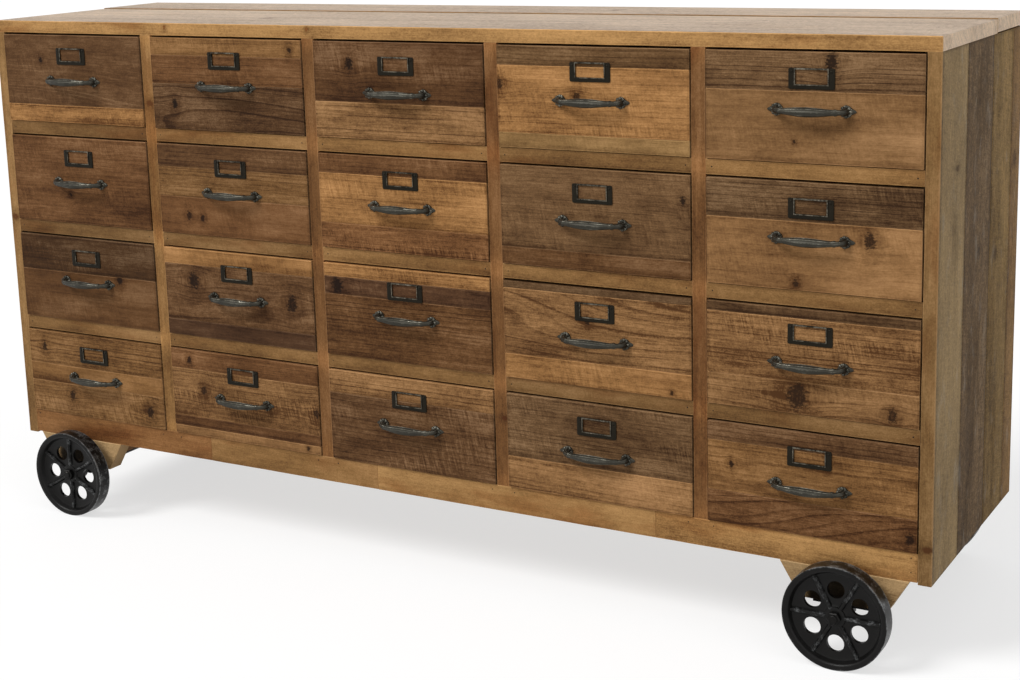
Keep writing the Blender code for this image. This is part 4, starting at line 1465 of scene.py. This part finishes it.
def lathe(name, profile, segments, closed=True):
    """Turn a section of (radius, height, wear) round the Z axis."""
    bm = bmesh.new()
    rings, wear = [], []
    for radius, height, rubbed in profile:
        angles = turns(segments) if radius > 0 else [0.0]
        rings.append([bm.verts.new((radius * math.cos(angle), radius * math.sin(angle), height))
                      for angle in angles])
        wear += [rubbed] * len(angles)
    if not closed:
        bm.faces.new(rings[0])
    bridge(bm, rings, closed)
    bmesh.ops.recalc_face_normals(bm, faces=bm.faces)
    return mesh_from(bm, name, wear)


class CHEST_OT_wheels(bpy.types.Operator):
    """Cast the four ribbed iron wheels"""

    bl_idname = "chest.wheels"
    bl_label = "Wheels"

    SEGMENTS = 96
    TREAD_IN = 0.014
    TREAD_OUT = 0.040
    RIM = 0.010
    WEB_OUT = 0.030
    WEB_IN = 0.0245
    HUB_RADIUS = 0.015
    HUB_IN = 0.004
    HUB_OUT = 0.034
    BORE = 0.0063
    HOLE_RADIUS = 0.0125
    HOLE_CIRCLE = 0.039
    RIB_WIDTH = 0.0074
    RIB_RISE = 0.0044
    RIB_IN = 0.002
    RIB_OUT = 0.001
    LEFT_TURN = math.radians(30)

    def execute(self, context):
        low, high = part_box("wheel_front_right")
        radius = (high.z - low.z) / 2
        turned = lathe("turned_wheel", self.profile(radius), self.SEGMENTS)
        shared = grown_mesh("cast_wheel", wheel_tree(), turned, Spokes=context.scene.chest_trim.spokes,
                            Hole_radius=self.HOLE_RADIUS, Hole_circle=self.HOLE_CIRCLE,
                            Rib_start=self.HUB_RADIUS - self.RIB_IN,
                            Rib_end=radius - self.RIM + self.RIB_OUT,
                            Rib_width=self.RIB_WIDTH, Rib_rise=self.RIB_RISE, Web=self.WEB_OUT,
                            Finish=finish_named("black cast iron"))
        smooth_metal(shared, angle=32.0)
        for end, face, half_turn in (("front", CASE_FRONT, 0.0), ("rear", -CASE_FRONT, math.pi)):
            for side, turn in (("left", self.LEFT_TURN), ("right", 0.0)):
                node = f"wheel_{end}_{side}"
                low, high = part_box(node)
                centre = (low + high) / 2
                place = Matrix.Translation((centre.x, face, centre.z))
                facing = Euler((math.pi / 2, turn, half_turn)).to_matrix().to_4x4()
                add_piece(f"cast_{node}", placed_copy(shared, place @ facing), "black cast iron", node,
                          (node,))
        return {"FINISHED"}

    def profile(self, radius):
        """Section as (radius, distance out from the case, wear), from the tread's outer edge round."""
        inner = radius - self.RIM
        out, back = self.TREAD_OUT, self.TREAD_IN
        web_out, web_in = self.WEB_OUT, self.WEB_IN
        hub = self.HUB_RADIUS
        # The wear on the tread's edges is partly rubbed iron and partly painted highlight along the rim
        return (
            (radius - 0.0012, out, 0.46), (radius - 0.0003, out - 0.0003, 0.60),
            (radius, out - 0.0012, 0.70), (radius, out - 0.0030, 0.52),
            (radius, (out + back) / 2, 0.45), (radius, back + 0.0030, 0.52),
            (radius, back + 0.0012, 0.7), (radius - 0.0012, back, 0.6),
            (inner + 0.0012, back, 0.2), (inner, back + 0.0012, 0.4),
            (inner - 0.0008, web_in - 0.003, 0.1), (inner - 0.0035, web_in, 0.0),
            (hub + 0.0040, web_in, 0.0), (hub, web_in - 0.0035, 0.1),
            (hub - 0.0006, self.HUB_IN + 0.0006, 0.3), (hub - 0.0012, self.HUB_IN, 0.3),
            (self.BORE, self.HUB_IN, 0.1), (self.BORE, self.HUB_OUT, 0.1),
            (hub - 0.0016, self.HUB_OUT, 0.25), (hub - 0.0004, self.HUB_OUT - 0.0006, 0.32),
            (hub + 0.0004, web_out + 0.0016, 0.15), (hub + 0.0035, web_out, 0.1),
            (inner - 0.0060, web_out, 0.1), (inner - 0.0022, web_out + 0.0014, 0.1),
            (inner - 0.0006, web_out + 0.0045, 0.15), (inner + 0.0002, out - 0.0038, 0.20),
            (inner + 0.0012, out - 0.0016, 0.28), (inner + 0.0028, out - 0.0004, 0.26),
            (inner + 0.0046, out, 0.20), (radius - 0.0030, out, 0.22),
        )


def bevelled_block(low, high, rounding, wear):
    """A metal block with rounded edges that are rubbed."""
    bm = bmesh.new()
    bmesh.ops.create_cube(bm, size=1.0)
    low, high = Vector(low), Vector(high)
    for vert in bm.verts:
        vert.co = Vector(a + (c + 0.5) * (b - a) for a, b, c in zip(low, high, vert.co))
    bevel(bm, bm.edges[:], rounding)
    return mesh_from(bm, "block", [wear] * len(bm.verts))


class CHEST_OT_running_gear(bpy.types.Operator):
    """Shape the wooden axle carriers, and forge the axles with their saddles and nuts"""

    bl_idname = "chest.running_gear"
    bl_label = "Axles and carriers"

    SEEDS = {"left": 61, "right": 62}
    PLATE_FOOT = 0.126
    PLATE_TOP = 0.186
    PLATE_THICKNESS = 0.028
    BEAM_WIDTH = 0.150
    BEAM_DROP = 0.025
    PACKER_WIDTH = 0.120
    AXLE_RADIUS = 0.006
    COLLAR_RADIUS = 0.011
    FLANGE_WIDTH = 0.088
    FLANGE_THICKNESS = 0.003
    SADDLE_WIDTH = 0.024
    SADDLE_WALL = 0.004
    NUT_RADIUS = 0.010
    NUT_IN = 0.0343
    NUT_OUT = 0.0413
    BOLT_SPREAD = 0.030
    BOLT_RADIUS = 0.0055
    BOLT_HEIGHT = 0.0030
    ROD_SIDES = 28
    NUT_SIDES = 6
    FLANGE_SHY = 0.001
    AXLE_DROP = 0.031
    # Painted shade behind a wheel: how far it lies from the axle, its radius, its soft edge and the tone
    # it leaves
    PAINTED_WHEEL_SHADE = (0.010, 0.058, 0.008, 0.07)
    PLATE_SHADE = 0.98

    def execute(self, context):
        trim = context.scene.chest_trim
        axle = self.axle_mesh()
        for name, seed in self.SEEDS.items():
            self.build_carrier(trim, name, seed)
            low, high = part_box(f"{name}_axle")
            wheel_low, wheel_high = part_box(f"wheel_front_{name}")
            place = Matrix.Translation(((low.x + high.x) / 2, 0.0, (wheel_low.z + wheel_high.z) / 2))
            add_piece(f"{name}_axle_rod", placed_copy(axle, place), "dark axle steel",
                      replaces=(f"{name}_axle",))
        return {"FINISHED"}

    def tone_left(self, place):
        """How much of a plate's tone is left behind its wheel, darkened there as painted shade."""
        aside, radius, edge, least = self.PAINTED_WHEEL_SHADE
        away = math.hypot(place.x + aside, place.y + self.AXLE_DROP)
        return min(max((away - radius) / edge, least), 1.0)

    def build_carrier(self, trim, name, seed):
        pile = BoardPile(seed)
        low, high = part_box(f"{name}_axle_carrier")
        middle = (low.x + high.x) / 2
        case_bottom = BASE_RAIL[0].z
        top = case_bottom - RUN_GAP

        def taper(point):
            share = (point.z - low.z) / (top - low.z)
            width = self.PLATE_FOOT + share * (self.PLATE_TOP - self.PLATE_FOOT)
            return Vector((middle + (point.x - middle) * width / self.PLATE_TOP, point.y, point.z))

        half = self.PLATE_TOP / 2
        for near in (low.y, high.y - self.PLATE_THICKNESS):
            # The plates are darkened behind the wheels: painted shade
            pile.lay((middle - half, near, low.z), (middle + half, near + self.PLATE_THICKNESS, top), X,
                     "raw", "glazed", (), trim.waver, taper, tone_left=self.tone_left, shade=self.PLATE_SHADE)
        beam = self.BEAM_WIDTH / 2
        inner = high.y - self.PLATE_THICKNESS - trim.seam
        pile.lay((middle - beam, -inner, case_bottom - self.BEAM_DROP), (middle + beam, inner, top), Y,
                 "dark_brown", "plain", ((0.4, 0.4, 0.007),))
        packer = self.PACKER_WIDTH / 2
        pile.lay((middle - packer, FACE_FRAME[1].y + RUN_GAP, top + trim.seam),
                 (middle + packer, BACK[0].y - RUN_GAP, high.z), Y, "raw", "raw")
        pile.stand(f"{name}_carrier_boards", "honey frame wood", (f"{name}_axle_carrier",))

    def axle_mesh(self):
        """The rod on the Y axis, and at each end its saddle, flange, bolts, collar and nut."""
        reach = CAD_BOX[1].y
        stand = Matrix.Rotation(-math.pi / 2, 4, "X")
        rod, ring, flat = self.AXLE_RADIUS, self.COLLAR_RADIUS, self.NUT_RADIUS
        face = -CASE_FRONT
        collar_in, collar_out = face + RUN_GAP, face + CHEST_OT_wheels.HUB_IN - RUN_GAP
        nut_in, nut_out = face + self.NUT_IN, face + self.NUT_OUT
        bar = lathe("axle_rod", (
            (rod - 0.001, -reach, 0.3), (rod, -reach + 0.001, 0.5), (rod, reach - 0.001, 0.5),
            (rod - 0.001, reach, 0.3), (0.0, reach, 0.3)), self.ROD_SIDES, closed=False)
        collar = lathe("collar", (
            (rod, collar_in, 0.2), (ring - 0.0006, collar_in, 0.6), (ring, collar_in + 0.0006, 0.7),
            (ring, collar_out - 0.0006, 0.7), (ring - 0.0006, collar_out, 0.6),
            (rod, collar_out, 0.2)), self.ROD_SIDES)
        nut = lathe("nut", (
            (rod, nut_in, 0.2), (flat, nut_in, 0.30), (flat, nut_out - 0.0012, 0.38),
            (flat - 0.0016, nut_out, 0.40), (rod, nut_out, 0.30)), self.NUT_SIDES)
        parts = [placed_copy(bar, stand)]
        bolts = []
        for end in (-1, 1):
            near, far = sorted((end * (face - self.FLANGE_SHY),
                                end * (face - self.PLATE_THICKNESS + self.FLANGE_SHY)))
            parts.append(bevelled_block(
                (-self.FLANGE_WIDTH / 2, near, rod - self.FLANGE_THICKNESS),
                (self.FLANGE_WIDTH / 2, far, rod), rounding=0.0006, wear=0.5))
            parts.append(bevelled_block(
                (-self.SADDLE_WIDTH / 2, near + self.SADDLE_WALL, -rod - self.SADDLE_WALL),
                (self.SADDLE_WIDTH / 2, far - self.SADDLE_WALL, rod - self.FLANGE_THICKNESS / 2),
                rounding=0.0015, wear=0.5))
            bolts += [(side * self.BOLT_SPREAD, (near + far) / 2, rod - self.FLANGE_THICKNESS)
                      for side in (-1, 1)]
            turn = stand if end > 0 else Matrix.Rotation(math.pi / 2, 4, "X")
            parts += [placed_copy(collar, turn), placed_copy(nut, turn)]
        parts.append(domed_heads("bolts", bolts, self.BOLT_RADIUS, self.BOLT_HEIGHT,
                                 (math.pi, 0.0, 0.0), "dark axle steel"))
        mesh = joined_mesh("axle", parts)
        smooth_metal(mesh, angle=35.0)
        return mesh


class CHEST_OT_studio(bpy.types.Operator):
    """Set the pale floor, the soft lights and the camera"""

    bl_idname = "chest.studio"
    bl_label = "Studio"

    FLOOR_HALF = 30.0
    FLOOR_SHADE = 0.40
    FLOOR_GLOW = 0.64
    WHITE = (1.0, 1.0, 1.0, 1.0)
    KEY_FROM = (-0.52, -0.70, 0.86)
    KEY_SPREAD = math.radians(24)
    FILL_FROM = (0.85, -0.45, 0.50)
    FILL_SPREAD = math.radians(60)
    EYE = (1.4385, -2.3786, 1.0638)
    YAW = math.radians(29.975)
    PITCH = math.radians(11.385)
    ROLL = math.radians(1.6565)
    SHIFT = -0.10

    def execute(self, context):
        studio = context.scene.chest_studio
        context.scene.view_settings.view_transform = "Standard"
        self.lay_floor(studio)
        self.light_world(context.scene, studio)
        self.hang_light("key_light", studio.key, self.KEY_FROM, self.KEY_SPREAD)
        self.hang_light("fill_light", studio.fill, self.FILL_FROM, self.FILL_SPREAD)
        self.stand_camera(context.scene, studio)
        return {"FINISHED"}

    def background_rays(self, n):
        """1 for rays that see the background straight, in a reflection or through glass."""
        path = n.add("ShaderNodeLightPath").outputs
        seen = n.math("MAXIMUM", path["Is Camera Ray"], path["Is Glossy Ray"])
        return n.math("MAXIMUM", seen, path["Is Transmission Ray"])

    def lay_floor(self, studio):
        mesh = bpy.data.meshes.new("studio_floor")
        half = self.FLOOR_HALF
        corners = [(-half, -half, 0), (half, -half, 0), (half, half, 0), (-half, half, 0)]
        mesh.from_pydata(corners, [], [(0, 1, 2, 3)])
        floor = bpy.data.objects.new("studio_floor", mesh)
        bpy.context.scene.collection.objects.link(floor)
        material = bpy.data.materials.new("studio floor")
        material.use_nodes = True
        n = Nodes(material.node_tree)
        n.tree.nodes.remove(n.tree.nodes["Principled BSDF"])
        paint = n.add("ShaderNodeBsdfDiffuse")
        paint.inputs["Color"].default_value = (*studio.floor, 1.0)
        shade = n.add("ShaderNodeBsdfDiffuse")
        shade.inputs["Color"].default_value = (*[self.FLOOR_SHADE] * 3, 1.0)
        glow = n.add("ShaderNodeEmission")
        glow.inputs["Strength"].default_value = self.FLOOR_GLOW
        lit = n.add("ShaderNodeAddShader")
        n.feed(lit.inputs[0], shade.outputs[0])
        n.feed(lit.inputs[1], glow.outputs[0])
        choose = n.add("ShaderNodeMixShader")
        n.feed(choose.inputs[0], self.background_rays(n))
        n.feed(choose.inputs[1], paint.outputs[0])
        n.feed(choose.inputs[2], lit.outputs[0])
        n.feed(n.tree.nodes["Material Output"].inputs["Surface"], choose.outputs[0])
        mesh.materials.append(material)

    def light_world(self, scene, studio):
        world = scene.world or bpy.data.worlds.new("studio")
        scene.world = world
        world.use_nodes = True
        n = Nodes(world.node_tree)
        soft = n.tree.nodes["Background"]
        soft.inputs["Color"].default_value = self.WHITE
        soft.inputs["Strength"].default_value = studio.ambient
        white = n.add("ShaderNodeBackground")
        white.inputs["Color"].default_value = self.WHITE
        choose = n.add("ShaderNodeMixShader")
        n.feed(choose.inputs[0], self.background_rays(n))
        n.feed(choose.inputs[1], soft.outputs[0])
        n.feed(choose.inputs[2], white.outputs[0])
        n.feed(n.tree.nodes["World Output"].inputs["Surface"], choose.outputs[0])

    def hang_light(self, name, strength, toward, spread):
        light = bpy.data.lights.new(name, "SUN")
        light.energy = strength
        light.angle = spread
        lamp = bpy.data.objects.new(name, light)
        lamp.rotation_euler = Vector(toward).to_track_quat("Z", "Y").to_euler()
        bpy.context.scene.collection.objects.link(lamp)

    def stand_camera(self, scene, studio):
        camera = bpy.data.cameras.new("studio_camera")
        camera.lens = studio.lens
        camera.shift_y = self.SHIFT
        eye = bpy.data.objects.new("studio_camera", camera)
        scene.collection.objects.link(eye)
        cos_yaw, sin_yaw = math.cos(self.YAW), math.sin(self.YAW)
        cos_pitch, sin_pitch = math.cos(self.PITCH), math.sin(self.PITCH)
        right = Vector((cos_yaw, sin_yaw, 0.0))
        ahead = Vector((-sin_yaw * cos_pitch, cos_yaw * cos_pitch, -sin_pitch))
        up = Vector((-sin_yaw * sin_pitch, cos_yaw * sin_pitch, cos_pitch))
        across = right * math.cos(self.ROLL) - up * math.sin(self.ROLL)
        upward = right * math.sin(self.ROLL) + up * math.cos(self.ROLL)
        turn = Matrix((across, upward, -ahead)).transposed()
        eye.matrix_world = Matrix.Translation(self.EYE) @ turn.to_4x4()
        scene.camera = eye


OPERATORS = (CHEST_OT_top, CHEST_OT_sides, CHEST_OT_back, CHEST_OT_inside, CHEST_OT_front_frame,
             CHEST_OT_drawers, CHEST_OT_label_holders, CHEST_OT_pulls, CHEST_OT_wheels,
             CHEST_OT_running_gear, CHEST_OT_studio)
SETTINGS = {"chest_tones": ChestWoodTones, "chest_metals": ChestMetalTones,
            "chest_trim": ChestTrimSizes, "chest_studio": ChestStudio}


class CHEST_PT_panel(bpy.types.Panel):
    """The chest's pieces and settings"""

    bl_idname = "CHEST_PT_panel"
    bl_label = "Rolling chest of drawers"
    bl_space_type = "VIEW_3D"
    bl_region_type = "UI"
    bl_category = "Chest"

    def draw(self, context):
        for operator in OPERATORS:
            self.layout.operator(operator.bl_idname)
        for name, settings in SETTINGS.items():
            box = self.layout.box()
            for key in settings.__annotations__:
                box.prop(getattr(context.scene, name), key)


CLASSES = (*SETTINGS.values(), *OPERATORS, CHEST_PT_panel)


def register():
    for cls in CLASSES:
        bpy.utils.register_class(cls)
    for name, settings in SETTINGS.items():
        setattr(bpy.types.Scene, name, PointerProperty(type=settings))


def unregister():
    for name in SETTINGS:
        delattr(bpy.types.Scene, name)
    for cls in reversed(CLASSES):
        bpy.utils.unregister_class(cls)


def main():
    register()
    bpy.ops.chest.top()
    bpy.ops.chest.sides()
    bpy.ops.chest.back()
    bpy.ops.chest.inside()
    bpy.ops.chest.front_frame()
    bpy.ops.chest.drawers()
    bpy.ops.chest.label_holders()
    bpy.ops.chest.pulls()
    bpy.ops.chest.wheels()
    bpy.ops.chest.running_gear()
    bpy.ops.chest.studio()


if __name__ == "__main__":
    main()
